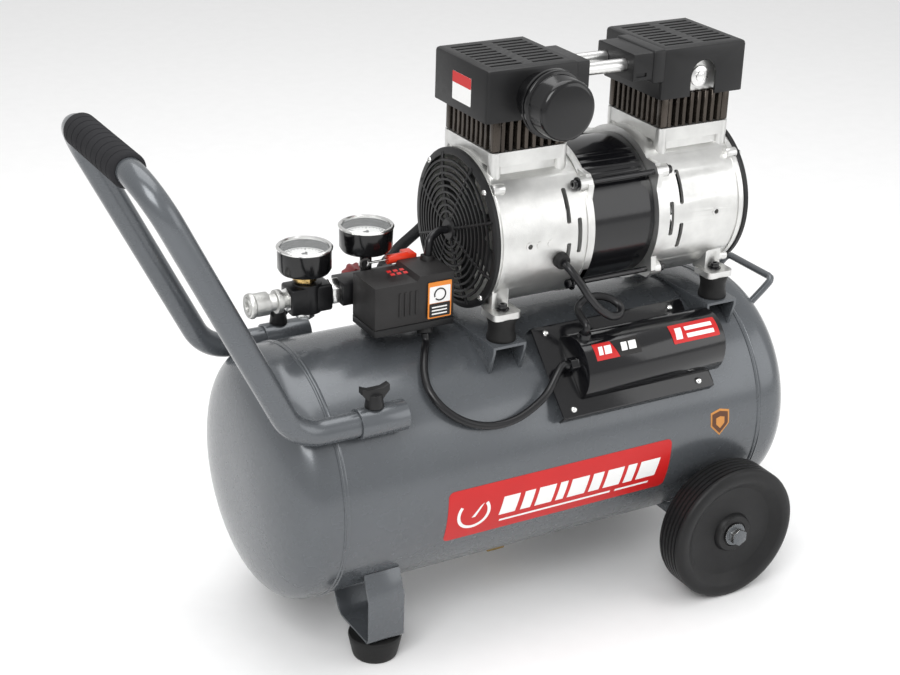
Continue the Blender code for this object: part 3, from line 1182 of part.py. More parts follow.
def main():
    """Clears the scene and builds every sub-part."""
    for old in list(bpy.data.objects):
        bpy.data.objects.remove(old)
    empty = bpy.data.objects.new("compressor", None)
    empty.location = (X_SHIFT, 0, 0)
    bpy.context.scene.collection.objects.link(empty)
    tank()
    drain_cock()
    carry_handle()
    pull_handle()
    for side, name in ((FRONT, "front"), (BACK, "back")):
        foot(side, name)
        wheel_carrier(side, name)
        wheel(side, name)
        handle_socket(side, name)
        clamp_knob(side, name)
    for end, name in ((LEFT, "left"), (RIGHT, "right")):
        motor_bracket(end, name)
        for side, place in ((FRONT, "front"), (BACK, "back")):
            rubber_mount(end, side, f"rubber_mount_{name}_{place}")
        crankcase(end, name)
        fan(end, name)
        fan_guard(end, name)
        pump_cylinder(end, name)
        piston(end, name)
        head_cover(end, name)
    stator()
    rotor_shaft()
    for y, name in zip(PIPE_Y, ("front", "back")):
        transfer_pipe(y, name)
    air_filter()
    manifold()
    regulator()
    regulator_knob()
    for index, name in enumerate(("outlet", "tank")):
        gauge(index, name)
    quick_coupler()
    safety_valve()
    pressure_switch()
    capacitor_box()
    cables()


main()
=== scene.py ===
"""Looks of a portable twin-head oil-free air compressor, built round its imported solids.

Metres, +Z up. Pieces are modelled in the tank's own coordinates, with x = 0 at the middle of the tank, and
are moved along X into the frame's place as they are fitted. -X is the pull handle's end and -Y the front.
"""

from __future__ import annotations

import json
import logging
from collections.abc import Iterator, Sequence
from contextlib import contextmanager
from dataclasses import dataclass
from enum import Enum
from math import cos, pi, radians, sin, sqrt, tan

import bpy
from mathutils import Matrix, Vector

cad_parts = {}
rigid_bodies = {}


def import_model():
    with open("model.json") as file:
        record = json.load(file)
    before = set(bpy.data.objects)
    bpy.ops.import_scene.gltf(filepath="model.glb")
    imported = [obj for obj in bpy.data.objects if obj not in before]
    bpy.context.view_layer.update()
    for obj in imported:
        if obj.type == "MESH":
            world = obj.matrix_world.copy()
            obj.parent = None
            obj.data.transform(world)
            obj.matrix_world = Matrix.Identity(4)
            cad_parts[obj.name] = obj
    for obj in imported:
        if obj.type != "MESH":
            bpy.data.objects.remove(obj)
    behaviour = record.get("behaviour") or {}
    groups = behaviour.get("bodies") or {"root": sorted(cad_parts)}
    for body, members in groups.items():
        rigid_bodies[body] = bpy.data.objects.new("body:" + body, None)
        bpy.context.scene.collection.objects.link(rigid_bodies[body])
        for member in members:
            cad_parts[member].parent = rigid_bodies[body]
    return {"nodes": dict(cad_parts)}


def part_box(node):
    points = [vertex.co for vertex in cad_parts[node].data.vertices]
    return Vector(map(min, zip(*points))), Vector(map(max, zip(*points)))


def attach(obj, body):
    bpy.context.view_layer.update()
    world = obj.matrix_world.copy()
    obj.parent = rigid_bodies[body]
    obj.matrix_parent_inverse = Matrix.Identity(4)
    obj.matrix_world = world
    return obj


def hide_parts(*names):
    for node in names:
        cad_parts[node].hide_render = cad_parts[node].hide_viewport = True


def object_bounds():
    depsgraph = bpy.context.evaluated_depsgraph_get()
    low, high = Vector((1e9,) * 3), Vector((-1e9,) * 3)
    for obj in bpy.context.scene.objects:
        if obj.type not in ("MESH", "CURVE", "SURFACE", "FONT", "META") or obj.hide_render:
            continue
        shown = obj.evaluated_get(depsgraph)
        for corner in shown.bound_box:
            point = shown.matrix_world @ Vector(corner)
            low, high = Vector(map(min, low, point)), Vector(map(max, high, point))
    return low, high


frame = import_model()
CAD_BOX = [list(corner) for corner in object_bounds()]

LOG = logging.getLogger("compressor")
Point = Sequence[float]
PointPair = tuple[Point, Point]
Outline = list[tuple[float, float]]

MIDDLE = (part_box("tank")[0].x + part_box("tank")[1].x) / 2
SEAT = 0.0003
FULL_TURN = 2 * pi
FILM = 0.0002
FIRST_LAYER, SECOND_LAYER, THIRD_LAYER = 0.0001, 0.0004, 0.0007
MERGE = 1e-6
SPIN_MERGE = 2e-6
CORD_DIAMETERS = 6


class Body(Enum):
    """The moving bodies that a piece can ride on."""

    FRAME = "frame"
    HANDLE = "pull_handle"
    ROTOR = "rotor"
    KNOB = "regulator_knob"
    SLEEVE = "coupler_sleeve"
    PIN = "safety_pin"


class Side(Enum):
    """The two ends or the two long sides of the machine."""

    MINUS = -1
    PLUS = 1

    def end_name(self) -> str:
        """The word for this end in the frame's node names."""
        return "left" if self is Side.MINUS else "right"

    def long_name(self) -> str:
        """The word for this long side in the frame's node names."""
        return "front" if self is Side.MINUS else "back"


# ---------------------------------------------------------------- finishes


@dataclass(frozen=True)
class Finish:
    """A surface: its colour, gloss and fine relief, and how both wander over the piece.

    relief is the depth of the grain in metres and grain its count per metre. patch is how far the colour
    drifts, and swing how far the roughness does. stretch squeezes the pattern along an axis, for brushing.
    """

    name: str
    slot: str
    colour: tuple[float, float, float]
    roughness: float
    metallic: float = 0.0
    coat: float = 0.0
    patch: float = 0.12
    patches: float = 35.0
    swing: float = 0.06
    grain: float = 1500.0
    relief: float = 0.00004
    stretch: tuple[float, float, float] = (1.0, 1.0, 1.0)
    alpha: float = 1.0
    shine: float = 0.5
    coat_roughness: float = 0.12
    gloss_scale: float = 6

    def material(self) -> bpy.types.Material:
        """Makes the finish's material once.

        Returns:
            The material, shared by every piece with this finish.
        """
        found = bpy.data.materials.get(self.name)
        if found:
            return found
        made = bpy.data.materials.new(self.name)
        made.use_nodes = True
        made.diffuse_color = (*self.colour, 1.0)
        shader = made.node_tree.nodes["Principled BSDF"]
        shader.inputs["Metallic"].default_value = self.metallic
        shader.inputs["Coat Weight"].default_value = self.coat
        shader.inputs["Coat Roughness"].default_value = self.coat_roughness
        shader.inputs["Alpha"].default_value = self.alpha
        shader.inputs["Specular IOR Level"].default_value = self.shine
        place = self.place(made)
        self.paint(made, shader, place)
        self.texture(made, shader, place)
        return made

    def place(self, made: bpy.types.Material) -> bpy.types.NodeSocket:
        """Object coordinates, stretched.

        Args:
            made: the material in the making.

        Returns:
            The socket that patterns take their place from.
        """
        nodes, links = made.node_tree.nodes, made.node_tree.links
        where = nodes.new("ShaderNodeTexCoord")
        mapping = nodes.new("ShaderNodeMapping")
        mapping.inputs["Scale"].default_value = self.stretch
        links.new(where.outputs["Object"], mapping.inputs["Vector"])
        return mapping.outputs["Vector"]

    def noise(self, made: bpy.types.Material, place: bpy.types.NodeSocket, scale: float,
              detail: float) -> bpy.types.NodeSocket:
        """A noise pattern.

        Args:
            made: the material in the making.
            place: where the pattern takes its place from.
            scale: the pattern's count per metre.
            detail: its number of finer layers.

        Returns:
            The pattern's value, from 0 to 1.
        """
        pattern = made.node_tree.nodes.new("ShaderNodeTexNoise")
        pattern.inputs["Scale"].default_value = scale
        pattern.inputs["Detail"].default_value = detail
        made.node_tree.links.new(place, pattern.inputs["Vector"])
        return pattern.outputs["Fac"]

    def paint(self, made: bpy.types.Material, shader: bpy.types.Node, place: bpy.types.NodeSocket) -> None:
        """Colour and gloss, drifting over the surface.

        Args:
            made: the material in the making.
            shader: its Principled node.
            place: where patterns take their place from.
        """
        nodes, links = made.node_tree.nodes, made.node_tree.links
        drift = self.noise(made, place, self.patches, 5.0)
        ramp = nodes.new("ShaderNodeValToRGB")
        ramp.color_ramp.elements[0].position = 0.30
        ramp.color_ramp.elements[1].position = 0.70
        dark = [max(0.0, c * (1 - self.patch)) for c in self.colour]
        light = [min(1.0, c * (1 + self.patch)) for c in self.colour]
        ramp.color_ramp.elements[0].color = (*dark, 1.0)
        ramp.color_ramp.elements[1].color = (*light, 1.0)
        links.new(drift, ramp.inputs["Fac"])
        links.new(ramp.outputs["Color"], shader.inputs["Base Color"])
        gloss = nodes.new("ShaderNodeMapRange")
        gloss.inputs["To Min"].default_value = max(0.02, self.roughness - self.swing)
        gloss.inputs["To Max"].default_value = min(1.0, self.roughness + self.swing)
        links.new(self.noise(made, place, self.patches * self.gloss_scale, 3.0), gloss.inputs["Value"])
        links.new(gloss.outputs["Result"], shader.inputs["Roughness"])

    def texture(self, made: bpy.types.Material, shader: bpy.types.Node, place: bpy.types.NodeSocket) -> None:
        """The fine relief of the surface.

        Args:
            made: the material in the making.
            shader: its Principled node.
            place: where patterns take their place from.
        """
        nodes, links = made.node_tree.nodes, made.node_tree.links
        bump = nodes.new("ShaderNodeBump")
        bump.inputs["Distance"].default_value = self.relief
        bump.inputs["Strength"].default_value = 1.0
        links.new(self.noise(made, place, self.grain, 3.0), bump.inputs["Height"])
        links.new(bump.outputs["Normal"], shader.inputs["Normal"])


@dataclass(frozen=True)
class WeldedPaint(Finish):
    """Powder coat on rolled sheet: orange peel over a slow waviness of the plate."""

    wave: float = 9.0
    depth: float = 0.0006

    def texture(self, made: bpy.types.Material, shader: bpy.types.Node, place: bpy.types.NodeSocket) -> None:
        """Orange peel stacked on the plate's slow waves.

        Args:
            made: the material in the making.
            shader: its Principled node.
            place: where patterns take their place from.
        """
        nodes, links = made.node_tree.nodes, made.node_tree.links
        slow = nodes.new("ShaderNodeBump")
        slow.inputs["Distance"].default_value = self.depth
        links.new(self.noise(made, place, self.wave, 1.0), slow.inputs["Height"])
        fine = nodes.new("ShaderNodeBump")
        fine.inputs["Distance"].default_value = self.relief
        links.new(self.noise(made, place, self.grain, 2.0), fine.inputs["Height"])
        links.new(slow.outputs["Normal"], fine.inputs["Normal"])
        links.new(fine.outputs["Normal"], shader.inputs["Normal"])


@dataclass(frozen=True)
class CastSkin(Finish):
    """Blasted casting: a coarse sand grain with darker pits gathered in soft clouds."""

    cloud: float = 60.0
    cloud_depth: float = 0.00035

    def texture(self, made: bpy.types.Material, shader: bpy.types.Node, place: bpy.types.NodeSocket) -> None:
        """Sand grain over a softer hammered unevenness.

        Args:
            made: the material in the making.
            shader: its Principled node.
            place: where patterns take their place from.
        """
        nodes, links = made.node_tree.nodes, made.node_tree.links
        soft = nodes.new("ShaderNodeBump")
        soft.inputs["Distance"].default_value = self.cloud_depth
        links.new(self.noise(made, place, self.cloud, 4.0), soft.inputs["Height"])
        sand = nodes.new("ShaderNodeBump")
        sand.inputs["Distance"].default_value = self.relief
        pits = nodes.new("ShaderNodeTexVoronoi")
        pits.inputs["Scale"].default_value = self.grain
        links.new(place, pits.inputs["Vector"])
        links.new(pits.outputs["Distance"], sand.inputs["Height"])
        links.new(soft.outputs["Normal"], sand.inputs["Normal"])
        links.new(sand.outputs["Normal"], shader.inputs["Normal"])


@dataclass(frozen=True)
class Braid(Finish):
    """Woven sleeve: two crossing sets of strands."""

    strands: float = 420.0
    lean: float = radians(38)

    def texture(self, made: bpy.types.Material, shader: bpy.types.Node, place: bpy.types.NodeSocket) -> None:
        """Crossing ridges that stand for the strands.

        Args:
            made: the material in the making.
            shader: its Principled node.
            place: where patterns take their place from.
        """
        nodes, links = made.node_tree.nodes, made.node_tree.links
        weave = nodes.new("ShaderNodeMath")
        weave.operation = "MULTIPLY"
        for index, turn in enumerate((self.lean, -self.lean)):
            mapping = nodes.new("ShaderNodeMapping")
            mapping.inputs["Rotation"].default_value = (turn, turn, turn)
            wave = nodes.new("ShaderNodeTexWave")
            wave.inputs["Scale"].default_value = self.strands
            links.new(place, mapping.inputs["Vector"])
            links.new(mapping.outputs["Vector"], wave.inputs["Vector"])
            links.new(wave.outputs["Fac"], weave.inputs[index])
        bump = nodes.new("ShaderNodeBump")
        bump.inputs["Distance"].default_value = self.relief
        links.new(weave.outputs["Value"], bump.inputs["Height"])
        links.new(bump.outputs["Normal"], shader.inputs["Normal"])


TANK_PAINT = WeldedPaint("tank_enamel", "tank_paint", (0.092, 0.100, 0.109), 0.27, 0.35, 0.30, 0.05, 12.0,
                         0.04, 900.0, 0.000012)
CAST = CastSkin("blasted_casting", "cast_alloy", (0.66, 0.66, 0.645), 0.34, 0.90, 0.0, 0.08, 55.0, 0.08,
                1400.0, 0.00006)
DARK_FINS = Finish("anodised_fins", "fin_alloy", (0.060, 0.050, 0.042), 0.26, 0.75, 0.0, 0.40, 60.0, 0.08,
                   700.0, 0.00003, (1.0, 1.0, 0.15))
BRIGHT = Finish("zinc_plate", "bright_metal", (0.74, 0.74, 0.73), 0.20, 1.0, 0.0, 0.08, 90.0, 0.06, 2200.0,
                0.00001)
KNURLED = CastSkin("knurled_plate", "bright_metal", (0.62, 0.62, 0.60), 0.36, 1.0, 0.0, 0.10, 90.0, 0.06,
                   1100.0, 0.00025)
DARK_CAST = CastSkin("black_casting", "black_metal", (0.008, 0.008, 0.009), 0.34, 0.3, 0.0, 0.15, 60.0, 0.06,
                     1300.0, 0.00003)
PIPE = Finish("drawn_pipe", "bright_metal", (0.72, 0.72, 0.71), 0.32, 1.0, 0.0, 0.06, 60.0, 0.07, 900.0,
              0.00002, (0.05, 1.0, 1.0))
BRASS = Finish("machined_brass", "brass", (0.58, 0.40, 0.16), 0.26, 1.0, 0.0, 0.18, 90.0, 0.06)
MOULDED = Finish("satin_moulding", "black_plastic", (0.0105, 0.0105, 0.011), 0.42, patch=0.15, relief=0.00003,
                 shine=0.30)
GLOSSY = Finish("gloss_moulding", "gloss_plastic", (0.0045, 0.0045, 0.005), 0.16, patch=0.10, swing=0.03,
                grain=500.0, relief=0.000006, shine=0.45)
ENAMEL = Finish("black_enamel", "black_metal", (0.005, 0.005, 0.006), 0.15, patch=0.10, swing=0.04,
                grain=350.0, relief=0.00002)
CHARCOAL = Finish("charcoal_case", "switch_plastic", (0.019, 0.018, 0.018), 0.46, relief=0.00004, shine=0.30)
RUBBER = Finish("moulded_rubber", "rubber", (0.010, 0.010, 0.010), 0.52, patch=0.18, swing=0.09, grain=1200.0,
                relief=0.00005, shine=0.25)
TYRE = Finish("solid_tyre", "wheel_rubber", (0.0095, 0.0095, 0.010), 0.46, patch=0.20, swing=0.10,
              grain=1100.0, relief=0.00005, shine=0.28)
CABLE = Finish("cable_jacket", "rubber", (0.007, 0.007, 0.008), 0.30, patch=0.12, relief=0.00002, shine=0.40)
FOAM = Finish("grip_foam", "foam", (0.020, 0.020, 0.022), 0.85, patch=0.15, grain=1300.0, relief=0.00014,
              shine=0.15)
HOSE = Braid("braided_hose", "rubber", (0.014, 0.014, 0.015), 0.55, relief=0.0005, shine=0.25)
RED_KNOB = Finish("red_moulding", "red_plastic", (0.20, 0.006, 0.008), 0.36)
ORANGE = Finish("dipped_cap", "orange_plastic", (0.72, 0.040, 0.014), 0.30)
FILM_RED = Finish("red_film", "red_plastic", (0.50, 0.012, 0.012), 0.36, patch=0.03, swing=0.01, relief=0.0,
                  shine=0.35)
FILM_WHITE = Finish("white_film", "gloss_plastic", (0.80, 0.80, 0.79), 0.36, patch=0.02, swing=0.01,
                    relief=0.0)
FILM_BLACK = Finish("black_film", "black_plastic", (0.012, 0.011, 0.011), 0.36, patch=0.05, relief=0.0,
                    shine=0.30)
FILM_ORANGE = Finish("orange_film", "orange_plastic", (0.72, 0.23, 0.03), 0.36, patch=0.03, relief=0.0,
                     shine=0.30)
FILM_GOLD = Finish("gold_film", "brass", (0.55, 0.24, 0.06), 0.36, patch=0.05, relief=0.0, shine=0.30)
FILM_BROWN = Finish("brown_film", "brass", (0.10, 0.040, 0.020), 0.36, patch=0.05, relief=0.0, shine=0.30)
DIAL = Finish("dial_card", "gloss_plastic", (0.80, 0.80, 0.79), 0.40, patch=0.02, relief=0.0)
PRINT = Finish("dial_print", "black_plastic", (0.008, 0.008, 0.008), 0.40, patch=0.05, relief=0.0)
LENS = Finish("clear_lens", "gloss_plastic", (0.90, 0.92, 0.92), 0.04, patch=0.0, relief=0.0, swing=0.01,
              alpha=0.10)


# ---------------------------------------------------------------- the modelling bench


class Bench:
    """The moves of the modelling bench. Each one starts with everything else deselected."""

    @staticmethod
    def hold(*pieces: bpy.types.Object) -> None:
        """Selects these pieces alone, the first of them active.

        Args:
            pieces: the pieces to select.
        """
        bpy.ops.object.select_all(action="DESELECT")
        for piece in pieces:
            piece.select_set(True)
        bpy.context.view_layer.objects.active = pieces[0]

    @staticmethod
    @contextmanager
    def editing(piece: bpy.types.Object) -> Iterator[None]:
        """Edit mode on one piece, with all of its mesh selected.

        Args:
            piece: the piece to edit.

        Yields:
            Nothing; the piece is in edit mode meanwhile.
        """
        Bench.hold(piece)
        bpy.ops.object.mode_set(mode="EDIT")
        bpy.ops.mesh.select_all(action="SELECT")
        yield
        bpy.ops.object.mode_set(mode="OBJECT")

    @staticmethod
    def settle(name: str) -> bpy.types.Object:
        """Names the piece just added and moves its place into its mesh.

        Args:
            name: the piece's name.

        Returns:
            The piece.
        """
        piece = bpy.context.object
        Bench.hold(piece)
        bpy.ops.object.transform_apply(location=True, rotation=True, scale=True)
        piece.name = name
        return piece

    @staticmethod
    def block(name: str, low: Point, high: Point, edge: float = 0.0, steps: int = 2) -> bpy.types.Object:
        """A box with rounded edges.

        Args:
            name: the piece's name.
            low: one corner.
            high: the corner across from it.
            edge: the radius of its edges.
            steps: the facets across each edge.

        Returns:
            The box.
        """
        low, high = Vector(map(min, low, high)), Vector(map(max, low, high))
        bpy.ops.object.select_all(action="DESELECT")
        bpy.ops.mesh.primitive_cube_add(size=1.0, location=(low + high) / 2, scale=high - low)
        piece = Bench.settle(name)
        return Bench.bevel(piece, edge, steps) if edge else piece

    @staticmethod
    def rod(name: str, start: Point, end: Point, radius: float, tip: float | None = None, sides: int = 48,
            edge: float = 0.0) -> bpy.types.Object:
        """A round, hexagonal or tapered bar between two points.

        Args:
            name: the piece's name.
            start: the middle of its first face.
            end: the middle of its last face.
            radius: its radius, or its first one when it tapers.
            tip: its radius at the end.
            sides: its number of sides.
            edge: the radius of its end edges.

        Returns:
            The bar.
        """
        start, end = Vector(start), Vector(end)
        run = end - start
        bpy.ops.object.select_all(action="DESELECT")
        tip = radius if tip is None else tip
        bpy.ops.mesh.primitive_cone_add(vertices=sides, radius1=radius, radius2=tip, depth=run.length,
                                        location=(start + end) / 2,
                                        rotation=run.to_track_quat("Z", "Y").to_euler())
        piece = Bench.settle(name)
        return Bench.bevel(piece, edge, 2, 50) if edge else piece

    @staticmethod
    def line(name: str, points: Sequence[Point]) -> bpy.types.Object:
        """A bare line: a plane merged into its first point, which is extruded to each of the others.

        Args:
            name: the piece's name.
            points: the line's corners.

        Returns:
            The line, with its last point selected.
        """
        bpy.ops.object.select_all(action="DESELECT")
        bpy.ops.mesh.primitive_plane_add(size=0.001, location=points[0])
        piece = Bench.settle(name)
        with Bench.editing(piece):
            bpy.ops.mesh.merge(type="CENTER")
            for before, after in zip(points, points[1:]):
                step = Vector(after) - Vector(before)
                bpy.ops.mesh.extrude_region_move(TRANSFORM_OT_translate={"value": step})
        return piece

    @staticmethod
    def lathe(name: str, profile: Outline, origin: Point, axis: Point, steps: int = 96,
              closed: bool = False) -> bpy.types.Object:
        """A turned piece.

        Args:
            name: the piece's name.
            profile: (radius, distance along the axis) of each corner.
            origin: where the distance is zero.
            axis: the direction of the axis.
            steps: the facets round it.
            closed: whether the profile closes on itself, as a ring's does.

        Returns:
            The turned piece.
        """
        axis = Vector(axis).normalized()
        side = axis.orthogonal().normalized()
        points = [Vector(origin) + side * radius + axis * along for radius, along in profile]
        piece = Bench.line(name, points + points[:1] if closed else points)
        with Bench.editing(piece):
            bpy.ops.mesh.spin(steps=steps, angle=FULL_TURN, center=origin, axis=axis)
            bpy.ops.mesh.select_all(action="SELECT")
            bpy.ops.mesh.remove_doubles(threshold=SPIN_MERGE)
            bpy.ops.mesh.normals_make_consistent(inside=False)
        return piece

    @staticmethod
    def prism(name: str, outline: Outline, axis: str, start: float, end: float, edge: float = 0.0,
              steps: int = 2) -> bpy.types.Object:
        """An outline pushed along an axis.

        Args:
            name: the piece's name.
            outline: its corners in the other two coordinates, in XYZ order.
            axis: X, Y or Z.
            start: where it begins on that axis.
            end: where it ends.
            edge: the radius of its edges.
            steps: the facets across each edge.

        Returns:
            The prism.
        """
        index = "XYZ".index(axis)
        corners = []
        for corner in outline:
            place = list(corner)
            place.insert(index, start)
            corners.append(place)
        piece = Bench.line(name, corners)
        push = [0.0, 0.0, 0.0]
        push[index] = end - start
        with Bench.editing(piece):
            bpy.ops.mesh.edge_face_add()
            bpy.ops.mesh.extrude_region_move(TRANSFORM_OT_translate={"value": push})
            bpy.ops.mesh.select_all(action="SELECT")
            bpy.ops.mesh.normals_make_consistent(inside=False)
        return Bench.bevel(piece, edge, steps) if edge else piece

    @staticmethod
    def curve(name: str, route: Sequence[Point], radius: float, sides: int = 24) -> bpy.types.Object:
        """A round line along a route, as a curve with capped ends.

        Args:
            name: the piece's name.
            route: its points.
            radius: its radius.
            sides: the facets round it.

        Returns:
            The curve.
        """
        data = bpy.data.curves.new(name, "CURVE")
        data.dimensions = "3D"
        data.bevel_depth = radius
        data.bevel_resolution = (sides - 4) // 2
        data.use_fill_caps = True
        spline = data.splines.new("POLY")
        spline.points.add(len(route) - 1)
        for place, point in zip(spline.points, route):
            place.co = (*point, 1.0)
        piece = bpy.data.objects.new(name, data)
        bpy.context.scene.collection.objects.link(piece)
        return piece

    @staticmethod
    def tube(name: str, route: Sequence[Point], radius: float, sides: int = 24) -> bpy.types.Object:
        """A round bar along a route, as a mesh.

        Args:
            name: the piece's name.
            route: its points.
            radius: its radius.
            sides: the facets round it.

        Returns:
            The bar.
        """
        piece = Bench.curve(name, route, radius, sides)
        Bench.hold(piece)
        bpy.ops.object.convert(target="MESH")
        piece = bpy.context.object
        with Bench.editing(piece):
            bpy.ops.mesh.remove_doubles(threshold=MERGE)
            bpy.ops.mesh.normals_make_consistent(inside=False)
        return piece

    @staticmethod
    def refined(name: str, node: str, edge: float, steps: int = 2) -> bpy.types.Object:
        """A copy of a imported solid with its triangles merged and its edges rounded.

        Args:
            name: the piece's name.
            node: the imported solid.
            edge: the radius of its edges.
            steps: the facets across each edge.

        Returns:
            The copy, in the tank's coordinates.
        """
        source = frame["nodes"][node]
        piece = source.copy()
        piece.data = source.data.copy()
        piece.name = name
        for key in list(piece.keys()):
            del piece[key]
        bpy.context.scene.collection.objects.link(piece)
        piece.parent = None
        piece.matrix_world = Matrix.Identity(4)
        piece.data.transform(Matrix.Translation((-MIDDLE, 0, 0)))
        with Bench.editing(piece):
            bpy.ops.mesh.customdata_custom_splitnormals_clear()
            bpy.ops.mesh.remove_doubles(threshold=MERGE)
            bpy.ops.mesh.dissolve_limited(angle_limit=radians(1))
        return Bench.bevel(piece, edge, steps, 40) if edge else piece

    @staticmethod
    def modify(piece: bpy.types.Object, kind: str, **settings: object) -> bpy.types.Object:
        """Adds a modifier, sets it and applies it.

        Args:
            piece: the piece.
            kind: the modifier's type.
            settings: its settings.

        Returns:
            The same piece.
        """
        Bench.hold(piece)
        modifier = piece.modifiers.new(kind.title(), kind)
        for key, value in settings.items():
            setattr(modifier, key, value)
        bpy.ops.object.modifier_apply(modifier=modifier.name)
        return piece

    @staticmethod
    def bevel(piece: bpy.types.Object, width: float, steps: int = 2, angle: float = 35) -> bpy.types.Object:
        """Rounds the edges that are sharper than an angle in degrees."""
        return Bench.modify(piece, "BEVEL", width=width, segments=steps, limit_method="ANGLE",
                            angle_limit=radians(angle), use_clamp_overlap=True, harden_normals=False)

    @staticmethod
    def join(name: str, pieces: Sequence[bpy.types.Object]) -> bpy.types.Object:
        """Makes one object of several.

        Args:
            name: the name of the joined piece.
            pieces: what is joined, into the first of them.

        Returns:
            The first piece, with the others in it.
        """
        Bench.hold(*pieces)
        if len(pieces) > 1:
            bpy.ops.object.join()
        pieces[0].name = name
        return pieces[0]

    @staticmethod
    def boolean(piece: bpy.types.Object, tools: Sequence[bpy.types.Object],
                operation: str) -> bpy.types.Object:
        """Cuts, joins or crosses a piece with others, which are used up.

        Args:
            piece: the piece to work on.
            tools: what it is cut, joined or crossed with.
            operation: DIFFERENCE, UNION or INTERSECT.

        Returns:
            The same piece.
        """
        tool = Bench.join("tool", tools)
        Bench.modify(piece, "BOOLEAN", operation=operation, solver="EXACT", object=tool)
        bpy.data.objects.remove(tool)
        return piece

    @staticmethod
    def copy(piece: bpy.types.Object, name: str, move: Matrix) -> bpy.types.Object:
        """A moved copy with its own mesh, its faces still pointing out when the move mirrors it.

        Args:
            piece: the piece to copy.
            name: the copy's name.
            move: how the copy's mesh is moved.

        Returns:
            The copy.
        """
        made = piece.copy()
        made.data = piece.data.copy()
        made.name = name
        bpy.context.scene.collection.objects.link(made)
        made.data.transform(move)
        if move.determinant() < 0:
            made.data.flip_normals()
        return made

    @staticmethod
    def to(origin: Point, axis: Point) -> Matrix:
        """The move that stands a shape built along +Z from zero on a point and an axis."""
        return Matrix.Translation(Vector(origin)) @ Vector(axis).to_track_quat("Z", "Y").to_matrix().to_4x4()


def fit(piece: bpy.types.Object, finish: Finish, body: Body | str = Body.FRAME, replaces: Sequence[str] = (),
        crease: float = 38) -> bpy.types.Object:
    """Dresses a piece, moves it into the frame and lets it ride on a body.

    Args:
        piece: the piece, in the tank's coordinates.
        finish: its finish.
        body: what it moves with.
        replaces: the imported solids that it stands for.
        crease: the angle in degrees past which an edge stays sharp.

    Returns:
        The same piece.
    """
    piece.data.materials.clear()
    piece.data.materials.append(finish.material())
    if piece.type == "MESH":
        piece.data.transform(Matrix.Translation((MIDDLE, 0, 0)))
        Bench.hold(piece)
        bpy.ops.object.shade_smooth_by_angle(angle=radians(crease))
    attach(piece, body.value if isinstance(body, Body) else body)
    if replaces:
        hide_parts(*replaces)
    LOG.info("fitted %s", piece.name)
    return piece


def span(node: str) -> tuple[Vector, Vector]:
    """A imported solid's box.

    Args:
        node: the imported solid.

    Returns:
        Its lowest and highest corners, in the tank's coordinates.
    """
    low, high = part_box(node)
    shift = Vector((MIDDLE, 0, 0))
    return low - shift, high - shift


# ---------------------------------------------------------------- outlines and small hardware


def rounded(low: tuple[float, float], high: tuple[float, float], radius: float, steps: int = 5) -> Outline:
    """A rectangle with round corners.

    Args:
        low: its lowest corner.
        high: its highest corner.
        radius: the corners' radius.
        steps: the facets of each corner.

    Returns:
        The outline, anticlockwise.
    """
    outline = []
    middles = ((high[0] - radius, high[1] - radius), (low[0] + radius, high[1] - radius),
               (low[0] + radius, low[1] + radius), (high[0] - radius, low[1] + radius))
    for quarter, (u, v) in enumerate(middles):
        for k in range(steps + 1):
            angle = pi / 2 * (quarter + k / steps)
            outline.append((u + radius * cos(angle), v + radius * sin(angle)))
    return outline


def arc_band(middle: tuple[float, float], outer: float, inner: float, start: float, end: float,
             steps: int = 24) -> Outline:
    """Part of a flat ring between two angles.

    Args:
        middle: the ring's middle.
        outer: its outer radius.
        inner: its inner radius.
        start: the angle that it starts at.
        end: the angle that it ends at.
        steps: the facets along it.

    Returns:
        The outline, out along the outer arc and back along the inner one.
    """
    angles = [start + (end - start) * k / steps for k in range(steps + 1)]
    outside = [(middle[0] + outer * cos(a), middle[1] + outer * sin(a)) for a in angles]
    inside = [(middle[0] + inner * cos(a), middle[1] + inner * sin(a)) for a in reversed(angles)]
    return outside + inside


def slanted(left: float, right: float, low: float, high: float, lean: float = 0.18) -> Outline:
    """A bar whose short sides lean."""
    shift = (high - low) * lean
    return [(left, low), (right, low), (right + shift, high), (left + shift, high)]


def bent(corners: Sequence[Point], radii: Sequence[float], step: float = radians(7)) -> list[Vector]:
    """A route through the corners, with an arc at each inner one.

    Args:
        corners: the corners of the route.
        radii: the arc's radius at each inner corner.
        step: the angle between the points of an arc.

    Returns:
        The route's points.
    """
    corners = [Vector(corner) for corner in corners]
    route = [corners[0]]
    for before, corner, after, radius in zip(corners, corners[1:], corners[2:], radii):
        back, ahead = (before - corner).normalized(), (after - corner).normalized()
        turn = pi - back.angle(ahead)
        middle = corner + (back + ahead).normalized() * radius / cos(turn / 2)
        arm = corner + back * radius * tan(turn / 2) - middle
        axis = arm.cross(corner + ahead * radius * tan(turn / 2) - middle).normalized()
        count = max(2, round(turn / step))
        route += [middle + Matrix.Rotation(turn * k / count, 3, axis) @ arm for k in range(count + 1)]
    return route + [corners[-1]]


